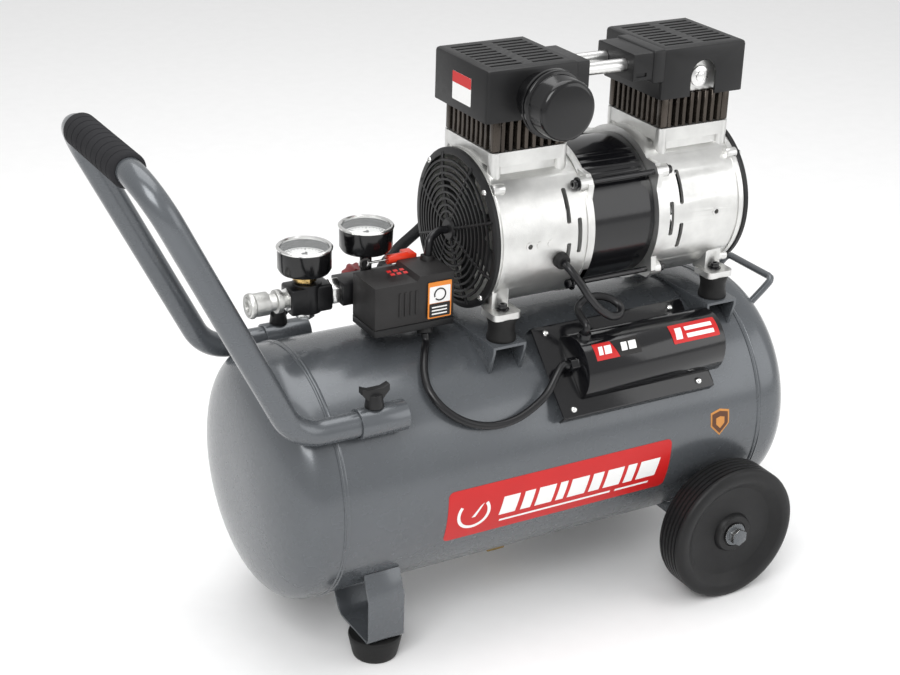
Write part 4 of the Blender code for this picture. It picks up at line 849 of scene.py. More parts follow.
@dataclass
class Hardware:
    """Screws, each modelled once along +Z from its seat and then copied into place."""

    head_r: float = 0.0038
    head_h: float = 0.0026
    socket_r: float = 0.0047
    socket_h: float = 0.006
    key_r: float = 0.0026
    washer_r: float = 0.0068

    def __post_init__(self) -> None:
        """Models the pan-head screw and the socket-head screw."""
        r, h = self.head_r, self.head_h
        profile = [(0.0, h), (r * 0.45, h * 0.97), (r * 0.8, h * 0.75), (r, h * 0.3), (r, 0.0), (0.0, 0.0)]
        self.pan = Bench.lathe("pan_head", profile, (0, 0, 0), (0, 0, 1), 32)
        arm, slot = r * 0.5, r * 0.12
        cross = [Bench.block("slot", (-arm, -slot, h * 0.45), (arm, slot, h * 2)),
                 Bench.block("slot", (-slot, -arm, h * 0.45), (slot, arm, h * 2))]
        for bar in cross:
            Bench.boolean(self.pan, [bar], "DIFFERENCE")
        self.socket = Bench.rod("socket_head", (0, 0, 0), (0, 0, self.socket_h), self.socket_r, sides=40,
                                edge=0.0005)
        key = Bench.rod("key", (0, 0, self.socket_h / 2), (0, 0, 0.010), self.key_r, sides=6)
        Bench.boolean(self.socket, [key], "DIFFERENCE")
        washer = Bench.rod("washer", (0, 0, -0.0001), (0, 0, 0.0012), self.washer_r, sides=40, edge=0.0002)
        self.socket = Bench.join("socket_head", [self.socket, washer])

    def pan_screws(self, name: str, places: Sequence[PointPair], scale: float = 1.0) -> bpy.types.Object:
        """Pan-head screws at each (seat, direction), as one piece."""
        return self.copies(self.pan, name, places, scale)

    def socket_screws(self, name: str, places: Sequence[PointPair]) -> bpy.types.Object:
        """Socket-head screws at each (seat, direction), as one piece."""
        return self.copies(self.socket, name, places, 1.0)

    @staticmethod
    def copies(model: bpy.types.Object, name: str, places: Sequence[PointPair],
               scale: float) -> bpy.types.Object:
        """Copies of one screw, as one piece.

        Args:
            model: the screw to copy.
            name: the piece's name.
            places: the (seat, direction) of each copy.
            scale: its size against the model's.

        Returns:
            The screws.
        """
        size = Matrix.Scale(scale, 4)
        heads = [Bench.copy(model, "head", Bench.to(seat, out) @ size) for seat, out in places]
        return Bench.join(name, heads)

    def put_away(self) -> None:
        """Removes the two models once every copy is made."""
        for model in (self.pan, self.socket):
            bpy.data.objects.remove(model)


@dataclass(frozen=True)
class Skin:
    """A round surface that printed films are laid on, and the angle up from the front of their middle."""

    axis_y: float
    axis_z: float
    radius: float
    angle: float

    def film(self, name: str, shapes: Sequence[Outline], lift: float, thickness: float) -> bpy.types.Object:
        """A thin film that follows the surface.

        Args:
            name: the piece's name.
            shapes: outlines in (along X, up round the surface).
            lift: its height above the surface.
            thickness: how thick it is.

        Returns:
            The film.
        """
        xs = [x for shape in shapes for x, _ in shape]
        inner, outer = self.radius + lift, self.radius + lift + thickness
        low, high = min(xs) - 0.002, max(xs) + 0.002
        ring = Bench.lathe(name, [(inner, low), (outer, low), (outer, high), (inner, high)],
                           (0, self.axis_y, self.axis_z), (1, 0, 0), 240, closed=True)
        out = Vector((0, -cos(self.angle), sin(self.angle)))
        up = Vector((0, sin(self.angle), cos(self.angle)))
        turn = Matrix((Vector((1, 0, 0)), up, out)).transposed().to_4x4()
        move = Matrix.Translation((0, self.axis_y, self.axis_z)) @ turn
        cutters = []
        for shape in shapes:
            cutter = Bench.prism("film_cutter", shape, "Z", self.radius * 0.6, self.radius * 1.4)
            cutter.data.transform(move)
            cutters.append(cutter)
        return Bench.boolean(ring, cutters, "INTERSECT")


# ---------------------------------------------------------------- studio


@dataclass(frozen=True)
class Studio:
    """The camera, the soft lamps and the pale floor."""

    eye: Point = (-0.83388, -1.4288, 1.0260)
    azimuth: float = radians(30.01)
    tilt: float = radians(24.09)
    roll: float = radians(1.849)
    lens: float = 70.3
    sensor: float = 36.0
    aim_z: float = 0.3
    floor_size: float = 14.0
    sky: float = 0.72

    def build(self) -> None:
        """Sets the whole studio up."""
        self.camera()
        self.lamp("key", (-1.3, -1.3, 1.9), 1.3, 34)
        self.lamp("fill", (1.7, -1.6, 1.1), 1.6, 13)
        self.lamp("top", (0.2, 0.3, 2.3), 1.8, 26)
        self.floor()
        world = bpy.data.worlds.new("studio")
        world.use_nodes = True
        world.node_tree.nodes["Background"].inputs["Color"].default_value = (1.0, 1.0, 1.0, 1.0)
        world.node_tree.nodes["Background"].inputs["Strength"].default_value = self.sky
        bpy.context.scene.world = world
        bpy.context.scene.view_settings.view_transform = "Standard"

    def camera(self) -> None:
        """Places the camera."""
        forward = Vector((sin(self.azimuth) * cos(self.tilt), cos(self.azimuth) * cos(self.tilt),
                          -sin(self.tilt)))
        level = forward.cross(Vector((0, 0, 1))).normalized()
        rise = level.cross(forward)
        right = level * cos(self.roll) + rise * sin(self.roll)
        up = rise * cos(self.roll) - level * sin(self.roll)
        turn = Matrix((right, up, -forward)).transposed()
        bpy.ops.object.camera_add(location=self.eye, rotation=turn.to_euler())
        camera = bpy.context.object
        camera.data.lens = self.lens
        camera.data.sensor_width = self.sensor
        bpy.context.scene.camera = camera

    def lamp(self, name: str, place: Point, size: float, power: float) -> None:
        """Hangs a square soft lamp that faces the machine.

        Args:
            name: the lamp's name.
            place: where it hangs.
            size: the length of its sides.
            power: its power in watts.
        """
        aim = Vector((0, 0, self.aim_z)) - Vector(place)
        turn = aim.to_track_quat("-Z", "Y").to_euler()
        bpy.ops.object.light_add(type="AREA", location=place, rotation=turn)
        lamp = bpy.context.object
        lamp.name = name
        lamp.data.size = size
        lamp.data.energy = power

    def floor(self) -> None:
        """Lays the floor."""
        bpy.ops.object.select_all(action="DESELECT")
        bpy.ops.mesh.primitive_plane_add(size=self.floor_size)
        floor = Bench.settle("floor")
        pale = Finish("pale_floor", "floor", (0.90, 0.90, 0.90), 0.55, patch=0.01, relief=0.00001)
        floor.data.materials.append(pale.material())


# ---------------------------------------------------------------- cables


@dataclass(frozen=True)
class Lead:
    """A cable between two glands."""

    node: str
    start: PointPair
    middle: tuple[Point, ...]
    end: PointPair
    finish: Finish
    radius: float = 0.0040
    spacing: float = 0.003
    lead_out: float = 0.009

    def past(self, gland: PointPair, distance: float) -> Vector:
        """A point beyond a gland's mouth.

        Args:
            gland: its root and its mouth.
            distance: how far beyond the mouth.

        Returns:
            The point.
        """
        root, mouth = Vector(gland[0]), Vector(gland[1])
        return mouth + (mouth - root).normalized() * distance

    def route(self) -> list[Vector]:
        """The cable's centre line, square to both mouths, in the frame.

        Returns:
            Points along a Catmull-Rom curve.
        """
        points = [self.past(self.start, SEAT), self.past(self.start, self.lead_out)]
        points += [Vector(point) for point in self.middle]
        points += [self.past(self.end, self.lead_out), self.past(self.end, SEAT)]
        padded = [2 * points[0] - points[1]] + points + [2 * points[-1] - points[-2]]
        line = []
        for p0, p1, p2, p3 in zip(padded, padded[1:], padded[2:], padded[3:]):
            count = max(4, round((p2 - p1).length / self.spacing))
            for k in range(count):
                t = k / count
                line.append(0.5 * (2 * p1 + (p2 - p0) * t + (2 * p0 - 5 * p1 + 4 * p2 - p3) * t * t
                                   + (3 * p1 - p0 - 3 * p2 + p3) * t ** 3))
        line.append(points[-1])
        return [point + Vector((MIDDLE, 0, 0)) for point in line]

    def build(self) -> None:
        route = self.route()
        length = sum((b - a).length for a, b in zip(route, route[1:]))
        piece = fit(Bench.curve(self.node + "_jacket", route, self.radius, 24), self.finish,
                    replaces=[self.node])
        if length >= CORD_DIAMETERS * 2 * self.radius:
            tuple(route[0])
        LOG.info("%s is %.4f m long", piece.name, length)


@dataclass(frozen=True)
class Places:
    """Where the main groups stand, in the tank's coordinates."""

    tank_z: float = 0.179
    tank_r: float = 0.130
    motor_x: float = 0.089
    motor_z: float = 0.408
    deck_z: float = 0.498
    cover_z: float = 0.530
    line_y: float = 0.025
    line_z: float = 0.352
    slope: float = radians(45)
    cylinder_reach: float = 0.0985
    cover_reach: float = 0.1012
    foot_middle: float = 0.083
    foot_reach: float = 0.1305
    foot_y: float = 0.070
    bolt_circle: float = 0.084
    bolt_angle: float = radians(39)
    grommet_x: float = 0.012
    grommet_angle: float = radians(-13)

    def slope_point(self, x: float, out: float, along: float) -> Vector:
        """A point on the capacitor box.

        Args:
            x: along the tank.
            out: out from the tank's surface.
            along: down the slope.

        Returns:
            The point.
        """
        reach = self.tank_r + SEAT + out
        return Vector((x, -reach * cos(self.slope) - along * sin(self.slope),
                       self.tank_z + reach * sin(self.slope) - along * cos(self.slope)))

    def round_motor(self, sign: int, radius: float, angle: float) -> tuple[float, float]:
        """(Y, Z) at a radius round the motor's axis and an angle up from level, on one long side."""
        return sign * radius * cos(angle), self.motor_z + radius * sin(angle)


AT = Places()


def leads() -> list[Lead]:
    """The three cables and the air hose.

    Returns:
        The leads, each with its glands and the points of its route.
    """
    rise = 0.006 + 0.002 + SEAT + 0.002
    turn = radians(52)
    box = (AT.slope_point(0.020, rise + 0.012, 0), AT.slope_point(0.010, rise + 0.012, 0))
    boss = tuple(AT.slope_point(0.030, rise + reach * sin(turn), -reach * cos(turn))
                 for reach in (0.033, 0.039))
    motor = tuple((AT.grommet_x, *AT.round_motor(-1, reach, AT.grommet_angle)) for reach in (0.078, 0.089))
    crown = AT.motor_x - (0.147 + SEAT + 0.00275 + 0.010)
    return [
        Lead("supply_cable", ((-0.1150, -0.0330, 0.3300), (-0.1165, -0.0385, 0.3185)),
             ((-0.1265, -0.0560, 0.3050), (-0.1360, -0.0740, 0.2930), (-0.1385, -0.0900, 0.2815),
              (-0.1310, -0.1035, 0.2680), (-0.1160, -0.1130, 0.2560), (-0.0970, -0.1180, 0.2480),
              (-0.0760, -0.1200, 0.2450), (-0.0550, -0.1200, 0.2475), (-0.0350, -0.1180, 0.2550),
              (-0.0180, -0.1150, 0.2660)), box, CABLE),
        Lead("motor_cable", motor,
             ((0.0200, -0.1060, 0.3720), (0.0280, -0.1110, 0.3580), (0.0400, -0.1130, 0.3440),
              (0.0560, -0.1110, 0.3330), (0.0710, -0.1040, 0.3300), (0.0770, -0.0940, 0.3340),
              (0.0700, -0.0850, 0.3400), (0.0560, -0.0800, 0.3430), (0.0430, -0.0800, 0.3410),
              (0.0340, -0.0830, 0.3330)), boss, CABLE),
        Lead("sensor_cable", ((-0.0990, -0.0070, 0.3820), (-0.0982, -0.0066, 0.3870)),
             ((-0.0940, -0.0040, 0.4030),), ((crown, 0, AT.motor_z), (crown - 0.0025, 0, AT.motor_z)), CABLE),
        Lead("air_hose", ((-0.0122, 0.05105, 0.566), (-0.0122, 0.0603, 0.566)),
             ((-0.0080, 0.0900, 0.5500), (0.0020, 0.1010, 0.5100), (0.0040, 0.1040, 0.4600),
              (-0.0100, 0.1040, 0.4150), (-0.0400, 0.1010, 0.3780), (-0.0780, 0.0930, 0.3560)),
             ((-0.114, 0.025, 0.352), (-0.114, 0.051, 0.352)), HOSE, 0.0060),
    ]


# ---------------------------------------------------------------- tank and running gear


@dataclass(frozen=True)
class Tank:
    """The welded tank, its printed decal and badge, and the brackets under it."""

    radius: float = 0.130
    seam: float = 0.246
    skirt: float = 0.010
    dish: float = 0.052
    power: float = 2.6
    head_steps: int = 28
    decal_angle: float = radians(-10)
    badge_angle: float = radians(6)
    badge_x: float = 0.193

    def profile(self) -> Outline:
        """Half of the shell: the dished head, the skirt and the double-edged weld bead.

        Returns:
            Corners from the pole to the middle of the tank.
        """
        rim = self.seam + self.skirt
        head = []
        for k in range(self.head_steps + 1):
            radius = self.radius * sin(pi / 2 * k / self.head_steps)
            fall = (1 - (radius / self.radius) ** self.power) ** (1 / self.power)
            head.append((radius, rim + self.dish * fall))
        bead = [(0.0034, 0.0), (0.0030, 0.0008), (0.0018, 0.0010), (0.0009, 0.0003), (-0.0009, 0.0003),
                (-0.0018, 0.0010), (-0.0030, 0.0008), (-0.0034, 0.0)]
        return head + [(self.radius + rise, self.seam + along) for along, rise in bead]

    def shell(self) -> None:
        """The whole shell as one turned piece."""
        half = self.profile()
        whole = half + [(radius, -along) for radius, along in reversed(half)]
        piece = Bench.lathe("tank_shell", whole, (0, 0, AT.tank_z), (1, 0, 0), 144)
        fit(piece, TANK_PAINT, replaces=["tank"])

    def decal(self) -> None:
        """A red film with a gauge emblem and a pattern of slanted white bars."""
        skin = Skin(0.0, AT.tank_z, self.radius, self.decal_angle)
        field = rounded((-0.136, -0.030), (0.131, 0.031), 0.006)
        fit(skin.film("tank_decal", [field], FIRST_LAYER, FILM), FILM_RED)
        ring = arc_band((-0.106, 0.001), 0.019, 0.0155, radians(-215), radians(35))
        needle = [(-0.108, -0.004), (-0.104, -0.004), (-0.095, 0.011), (-0.099, 0.008)]
        marks = [slanted(left, left + width, -0.010, 0.012) for left, width in
                 ((-0.076, 0.019), (-0.051, 0.012), (-0.034, 0.020), (-0.009, 0.009), (0.005, 0.021),
                  (0.031, 0.013), (0.049, 0.020), (0.074, 0.011), (0.090, 0.024))]
        lines = [slanted(-0.074, 0.060, -0.019, -0.0165), slanted(0.066, 0.108, -0.019, -0.0165)]
        fit(skin.film("tank_decal_shapes", [ring, needle] + marks + lines, SECOND_LAYER, FILM),
            FILM_WHITE)

    def badge(self) -> None:
        """A small shield-shaped badge beside the decal."""
        skin = Skin(0.0, AT.tank_z, self.radius, self.badge_angle)
        shield = [(-0.012, 0.012), (0.0, 0.015), (0.012, 0.012), (0.012, -0.003), (0.0, -0.015),
                  (-0.012, -0.003)]
        for name, scale, lift, finish in (("badge_border", 1.0, FIRST_LAYER, FILM_GOLD),
                                          ("badge_field", 0.84, SECOND_LAYER, FILM_BROWN),
                                          ("badge_bars", 0.45, THIRD_LAYER, FILM_GOLD)):
            shape = [(self.badge_x + u * scale, v * scale) for u, v in shield]
            fit(skin.film(name, [shape], lift, FILM), finish)

    def feet(self) -> None:
        """The two straps under the handle's end and their rubber feet."""
        profile = [(0.0, 0.0), (0.0215, 0.0), (0.0225, 0.001), (0.0235, 0.004), (0.0272, 0.0215),
                   (0.0275, 0.0235), (0.0270, 0.0255), (0.0262, 0.0260), (0.0, 0.0260)]
        for side in Side:
            word = side.long_name()
            fit(Bench.refined(f"foot_strap_{word}", f"foot_bracket_{word}", 0.0012), TANK_PAINT,
                replaces=[f"foot_bracket_{word}"])
            low, high = span(f"rubber_foot_{word}")
            middle = ((low.x + high.x) / 2, (low.y + high.y) / 2, 0.0)
            fit(Bench.lathe(f"foot_{word}", profile, middle, (0, 0, 1), 72), RUBBER,
                replaces=[f"rubber_foot_{word}"])

    def build(self) -> None:
        """The tank and everything fixed under it."""
        self.shell()
        self.decal()
        self.badge()
        self.feet()
        fit(Bench.refined("drain", "drain_cock", 0.0005), BRASS, replaces=["drain_cock"])


@dataclass(frozen=True)
class Wheel:
    """A solid rubber wheel on its stub axle."""

    side: Side
    x: float = 0.196
    radius: float = 0.0758
    inner: float = 0.134
    grooves: tuple[float, ...] = (0.0080, 0.0135, 0.0190, 0.0245, 0.0300)
    groove_depth: float = 0.0016
    groove_mouth: float = 0.0011
    groove_floor: float = 0.0006
    hub_face: float = 0.0342
    bolt_seat: float = 0.0362
    bolt_r: float = 0.0098
    bolt_h: float = 0.0080
    washer_r: float = 0.0126

    def profile(self) -> Outline:
        """The wheel's section: web, tread with its grooves, sidewall, sunk disc and hub.

        Returns:
            Its corners, inner face first.
        """
        tread = []
        floor = self.radius - self.groove_depth
        for along in self.grooves:
            tread += [(self.radius, along - self.groove_mouth), (floor, along - self.groove_floor),
                      (floor, along + self.groove_floor), (self.radius, along + self.groove_mouth)]
        inner = [(0.0065, 0.0), (0.0180, 0.0), (0.0180, 0.006), (0.0600, 0.006), (0.0605, 0.001),
                 (0.0680, 0.0), (0.0730, 0.0010), (0.0750, 0.0028), (self.radius, 0.0050)]
        outer = [(self.radius, 0.0330), (0.0750, 0.0352), (0.0730, 0.0370), (0.0690, 0.0380),
                 (0.0632, 0.0378), (0.0610, 0.0368), (0.0520, 0.0286), (0.0505, 0.0280), (0.0250, 0.0280),
                 (0.0226, 0.0288), (0.0214, 0.0330), (0.0200, 0.0344), (0.0145, 0.0344), (0.0140, 0.0334),
                 (0.0065, 0.0334)]
        return inner + tread + outer

    def build(self) -> None:
        """The wheel and its carrier."""
        word, sign = self.side.long_name(), self.side.value
        tyre = Bench.lathe(f"tyre_{word}", self.profile(), (self.x, sign * self.inner, self.radius),
                           (0, sign, 0), 128, closed=True)
        fit(tyre, TYRE, f"wheel_{word}", [f"wheel_{word}"])
        fit(Bench.refined(f"carrier_{word}", f"wheel_carrier_{word}", 0.0008), TANK_PAINT,
            replaces=[f"wheel_carrier_{word}"])
        start = sign * (self.inner + self.bolt_seat)
        cap = Bench.rod(f"axle_bolt_{word}", (self.x, start, self.radius),
                        (self.x, start + sign * self.bolt_h, self.radius), self.bolt_r, sides=6, edge=0.0010)
        washer = Bench.rod("washer", (self.x, sign * (self.inner + self.hub_face), self.radius),
                           (self.x, start + sign * 0.0002, self.radius), self.washer_r, sides=48, edge=0.0004)
        fit(Bench.join(f"axle_bolt_{word}", [cap, washer]), BRIGHT)


@dataclass(frozen=True)
class PullHandle:
    """The bent tube with its foam grip, its sockets and clamp knobs."""

    tube_r: float = 0.0125
    grip_r: float = 0.0165
    grip_half: float = 0.065
    socket_y: float = 0.10967
    socket_z: float = 0.27433
    end_x: float = -0.182
    bend_x: float = -0.290
    bar_x: float = -0.42255
    bar_rise: float = 0.26354
    outer_bend: float = 0.045
    inner_bend: float = 0.044
    groove_turns: int = 9
    groove_r: float = 0.0011
    groove_steps: int = 28

    def route(self) -> list[Vector]:
        """The tube's centre line from one open end to the other.

        Returns:
            Its points.
        """
        corners = []
        for sign in (-1, 1):
            y = sign * self.socket_y
            arm = [(self.end_x, y, self.socket_z), (self.bend_x, y, self.socket_z),
                   (self.bar_x, y, self.socket_z + self.bar_rise)]
            corners += arm if sign < 0 else arm[::-1]
        return bent(corners, (self.outer_bend, self.inner_bend, self.inner_bend, self.outer_bend), radians(4))

    def grip(self) -> bpy.types.Object:
        """The foam grip with a spiral of finger grooves.

        Returns:
            The grip.
        """
        bar = (self.bar_x, 0, self.socket_z + self.bar_rise)
        r, half = self.grip_r, self.grip_half
        bore = self.tube_r + SEAT
        profile = [(bore, -half), (r - 0.0030, -half), (r - 0.0010, -half + 0.001), (r, -half + 0.003),
                   (r, half - 0.003), (r - 0.0010, half - 0.001), (r - 0.0030, half), (bore, half)]
        piece = Bench.lathe("grip", profile, bar, (0, 1, 0), 72, closed=True)
        helix = []
        count = self.groove_turns * self.groove_steps
        for k in range(count + 1):
            turn = FULL_TURN * self.groove_turns * k / count
            along = -half + 0.006 + (2 * half - 0.012) * k / count
            helix.append(Vector(bar) + Vector((cos(turn) * r * 1.02, along, sin(turn) * r * 1.02)))
        return Bench.boolean(piece, [Bench.tube("groove", helix, self.groove_r, 10)], "DIFFERENCE")

    def build(self) -> None:
        """The handle and what holds it."""
        fit(Bench.tube("handle_bar", self.route(), self.tube_r, 40), TANK_PAINT, Body.HANDLE, ["handle_tube"])
        fit(self.grip(), FOAM, Body.HANDLE, ["handle_grip"])
        for side in Side:
            word = side.long_name()
            fit(Bench.refined(f"socket_{word}", f"handle_socket_{word}", 0.0004), TANK_PAINT,
                replaces=[f"handle_socket_{word}"])
            fit(Bench.refined(f"knob_{word}", f"clamp_knob_{word}", 0.0014, 3), MOULDED,
                f"clamp_knob_{word}", [f"clamp_knob_{word}"])
        fit(Bench.refined("carry_bar", "carry_handle", 0.0), TANK_PAINT, replaces=["carry_handle"], crease=60)


# ---------------------------------------------------------------- motor and pumps


@dataclass(frozen=True)
class MotorEnd:
    """One end of the motor: the cast housing, its mounts, the finned cylinder and the fan guard."""

    side: Side
    hardware: Hardware
    case_r: float = 0.080
    case_end: float = 0.147
    can_end: float = 0.0388
    lip_rise: float = 0.0012
    lip_width: float = 0.0045
    bore_r: float = 0.0303
    room_r: float = 0.076
    nest_r: float = 0.070
    shaft_r: float = 0.0093
    post_x: float = 0.0375
    post_y: float = 0.042
    lug_length: float = 0.014
    boss_circle: float = 0.0805
    near_marks: tuple[tuple[float, float, float], ...] = (
        (-0.0247, 1.0, 0.0045), (-0.0130, 1.0, 0.0040), (-0.0005, 1.0, 0.0040))
    far_mark: tuple[float, float, float] = (0.2007, 3.0, 0.0045)
    barrel_r: float = 0.038
    fins: int = 8
    fin_span: float = 0.062
    fin_half: float = 0.0021
    rim_r: float = 0.0815
    screw_circle: float = 0.0775
    crown: float = 0.0128
    rim_rise: float = 0.003
    rings: int = 9
    ring_start: float = 0.012
    ring_end: float = 0.0755
    spokes: int = 8
    spoke_start: float = 0.008
    spoke_steps: int = 8

    def at(self, distance: float) -> float:
        """X at a distance from the motor's middle, on this end."""
        return AT.motor_x + self.side.value * distance

    def foot_x(self) -> float:
        """X of this end's feet and mounts."""
        return AT.foot_middle + self.side.value * AT.foot_reach

    def dome(self, radius: float) -> float:
        """The guard's rise over its seat at a radius."""
        return self.rim_rise + (self.crown - self.rim_rise) * sqrt(max(0.0, 1 - (radius / self.rim_r) ** 2))

    def top_of_case(self) -> list[bpy.types.Object]:
        """The lips round the case, the neck, the deck and its corner posts.

        Returns:
            The shapes to add to the casting.
        """
        rod, z, top, cyl = Bench.rod, AT.motor_z, AT.deck_z, self.at(AT.cylinder_reach)
        add = [rod("lip", (self.at(d), 0, z), (self.at(d + self.lip_width), 0, z),
                   self.case_r + self.lip_rise, sides=120)
               for d in (0.1400, self.can_end, self.can_end + 0.0035)]
        add.append(Bench.block("neck", (cyl - 0.040, -0.044, z), (cyl + 0.040, 0.044, top - 0.002), 0.010, 4))
        add.append(Bench.prism("deck", rounded((cyl - 0.0435, -0.048), (cyl + 0.0435, 0.048), 0.004), "Z",
                               top - 0.014, top))
        for dx in (-self.post_x, self.post_x):
            for y in (-self.post_y, self.post_y):
                add.append(rod("corner", (cyl + dx, y, top - 0.030), (cyl + dx, y, top - 0.0005), 0.0066))
        return add

    def feet_and_lugs(self, sign: int) -> list[bpy.types.Object]:
        """One long side's foot with its column, and its two lugs with their ears.

        Args:
            sign: -1 at the front and 1 at the back.

        Returns:
            The shapes to add to the casting.
        """
        foot, y, z = self.foot_x(), sign * AT.foot_y, AT.motor_z
        near, far = self.at(self.can_end), self.at(self.can_end + self.lug_length)
        low, high = sorted((y - sign * 0.017, y + sign * 0.013))
        plan = rounded((foot - 0.016, low), (foot + 0.016, high), 0.006)
        add = [Bench.prism("foot", plan, "Z", 0.3369, 0.3434)]
        low, high = sorted((y - sign * 0.026, y - sign * 0.004))
        add.append(Bench.block("column", (foot - 0.010, low, 0.338), (foot + 0.010, high, z - 0.030), 0.002))
        for angle in (AT.bolt_angle, -AT.bolt_angle):
            place = AT.round_motor(sign, AT.bolt_circle, angle)
            add.append(Bench.rod("lug", (near, *place), (far, *place), 0.0070))
            outline = [AT.round_motor(sign, 0.0905, angle + turn) for turn in (radians(-4), radians(4))]
            outline += [AT.round_motor(sign, 0.077, angle + turn) for turn in (radians(17), radians(-17))]
            add.append(Bench.prism("ear", outline, "X", near, self.at(self.can_end + 0.006)))
        return add

    def hollows(self) -> list[bpy.types.Object]:
        """The rooms inside the casting, its bores and its vents.

        Returns:
            The shapes to cut from the casting.
        """
        rod, z, cyl = Bench.rod, AT.motor_z, self.at(AT.cylinder_reach)
        cut = [rod("room", (self.at(0.0548), 0, z), (self.at(0.160), 0, z), self.room_r, sides=120),
               rod("nest", (self.at(0.0428), 0, z), (self.at(0.030), 0, z), self.nest_r, sides=120),
               rod("shaft", (self.at(0.030), 0, z), (self.at(0.075), 0, z), self.shaft_r),
               rod("bore", (cyl, 0, z), (cyl, 0, AT.deck_z + 0.01), self.bore_r, sides=72)]
        for sign in (-1, 1):
            for x, low, high in ((0.0295, 0.018, 0.050), (0.0170, -0.014, 0.022), (0.0295, -0.030, -0.002)):
                near, far = sorted((self.at(self.can_end + x - 0.0025), self.at(self.can_end + x + 0.0025)))
                back, front = sorted((sign * 0.050, sign * 0.095))
                cut.append(Bench.block("vent", (near, back, z + low), (far, front, z + high), 0.0015))
        return cut

    def marks(self) -> tuple[list[bpy.types.Object], bpy.types.Object]:
        """The round ejector marks on the front, the first of them with a hole.

        Returns:
            The marks to add to the casting, and the hole to cut.
        """
        marks = (self.far_mark,) if self.side is Side.PLUS else self.near_marks
        add = []
        for x, degrees, radius in marks:
            out = Vector((0, -cos(radians(degrees)), sin(radians(degrees))))
            seat = Vector((x, 0, AT.motor_z))
            add.append(Bench.rod("mark", seat + out * 0.074, seat + out * (self.case_r + 0.0006), radius))
        out = Vector((0, -cos(radians(marks[0][1])), sin(radians(marks[0][1]))))
        seat = Vector((marks[0][0], 0, AT.motor_z))
        return add, Bench.rod("hole", seat + out * 0.070, seat + out * 0.09, 0.0026)

    def housing(self) -> None:
        """The casting, with lips, deck, lugs, bosses, feet and vents."""
        word, z = self.side.end_name(), AT.motor_z
        body = Bench.rod(f"housing_{word}", (self.at(self.can_end), 0, z), (self.at(self.case_end), 0, z),
                         self.case_r, sides=120)
        add = self.top_of_case()
        bosses = []
        for sign in (-1, 1):
            add += self.feet_and_lugs(sign)
            for angle in (pi / 4, -pi / 4):
                place = AT.round_motor(sign, self.boss_circle, angle)
                bosses.append(Bench.rod("boss", (self.at(0.1335), *place),
                                        (self.at(self.case_end - 0.0005), *place), 0.0055, edge=0.0008))
        cut = self.hollows()
        marks, hole = self.marks()
        for tool in add + marks:
            Bench.boolean(body, [tool], "UNION")
        for tool in cut + [hole]:
            Bench.boolean(body, [tool], "DIFFERENCE")
        Bench.bevel(body, 0.0009, 2, 40)
        fit(Bench.join(body.name, [body] + bosses), CAST, replaces=[f"crankcase_{word}"])

    def fixings(self) -> None:
        """Through-bolt heads, foot bolts, rubber mounts and the bracket under them."""
        word, sign = self.side.end_name(), self.side.value
        seat = self.at(self.can_end + 0.0141)
        bolts = [((seat, *AT.round_motor(y, AT.bolt_circle, a)), (sign, 0, 0))
                 for y in (-1, 1) for a in (AT.bolt_angle, -AT.bolt_angle)]
        feet = [((self.foot_x(), y * AT.foot_y, 0.3436), (0, 0, 1)) for y in (-1, 1)]
        fit(self.hardware.socket_screws(f"bolts_{word}", bolts + feet), ENAMEL)
        for side in Side:
            node = f"rubber_mount_{word}_{side.long_name()}"
            low, high = span(node)
            waist = [(0.0, 0.0), (0.0148, 0.0), (0.0150, 0.001), (0.0150, 0.003), (0.0136, 0.008),
                     (0.0136, 0.016), (0.0150, 0.021), (0.0150, 0.023), (0.0148, high.z - low.z),
                     (0.0, high.z - low.z)]
            middle = ((low.x + high.x) / 2, (low.y + high.y) / 2, low.z)
            fit(Bench.lathe(f"mount_{word}_{side.long_name()}", waist, middle, (0, 0, 1), 64), RUBBER,
                replaces=[node])
        fit(Bench.refined(f"rail_{word}", f"motor_bracket_{word}", 0.0010), TANK_PAINT,
            replaces=[f"motor_bracket_{word}"])

    def cylinder(self) -> None:
        """The finned cylinder: thin upright fins between four corner posts, and the head on it."""
        word = self.side.end_name()
        cyl = self.at(AT.cylinder_reach)
        low, high = AT.deck_z + SEAT, AT.cover_z + 0.0020
        half = self.fin_half
        add = []
        for sign in (-1, 1):
            for k in range(self.fins):
                u = -self.fin_span / 2 + self.fin_span * k / (self.fins - 1)
                add.append(Bench.block("fin", (cyl + u - half, sign * 0.030, low),
                                       (cyl + u + half, sign * 0.0468, high), 0.0005, 1))
                add.append(Bench.block("fin", (cyl + sign * 0.026, u - half, low),
                                       (cyl + sign * 0.0423, u + half, high), 0.0005, 1))
            for y in (-1, 1):
                add.append(Bench.block("post", (cyl + sign * 0.0335, y * 0.0385, low),
                                       (cyl + sign * 0.0424, y * 0.0469, high), 0.0015))
        barrel = Bench.rod("barrel", (cyl, 0, low), (cyl, 0, high), self.barrel_r, sides=72)
        bore = Bench.rod("bore", (cyl, 0, low - 0.01), (cyl, 0, high - 0.002), self.bore_r, sides=72)
        Bench.boolean(barrel, [bore], "DIFFERENCE")
        fit(Bench.join(f"fins_{word}", [barrel] + add), DARK_FINS)
        source = Bench.refined(f"head_{word}", f"cylinder_{word}", 0.0)
        keep = Bench.block("keep", (cyl - 0.06, -0.06, AT.cover_z + 0.0024), (cyl + 0.06, 0.06, 0.60))
        Bench.boolean(source, [keep], "INTERSECT")
        fit(Bench.bevel(source, 0.0010), CAST, replaces=[f"cylinder_{word}"])

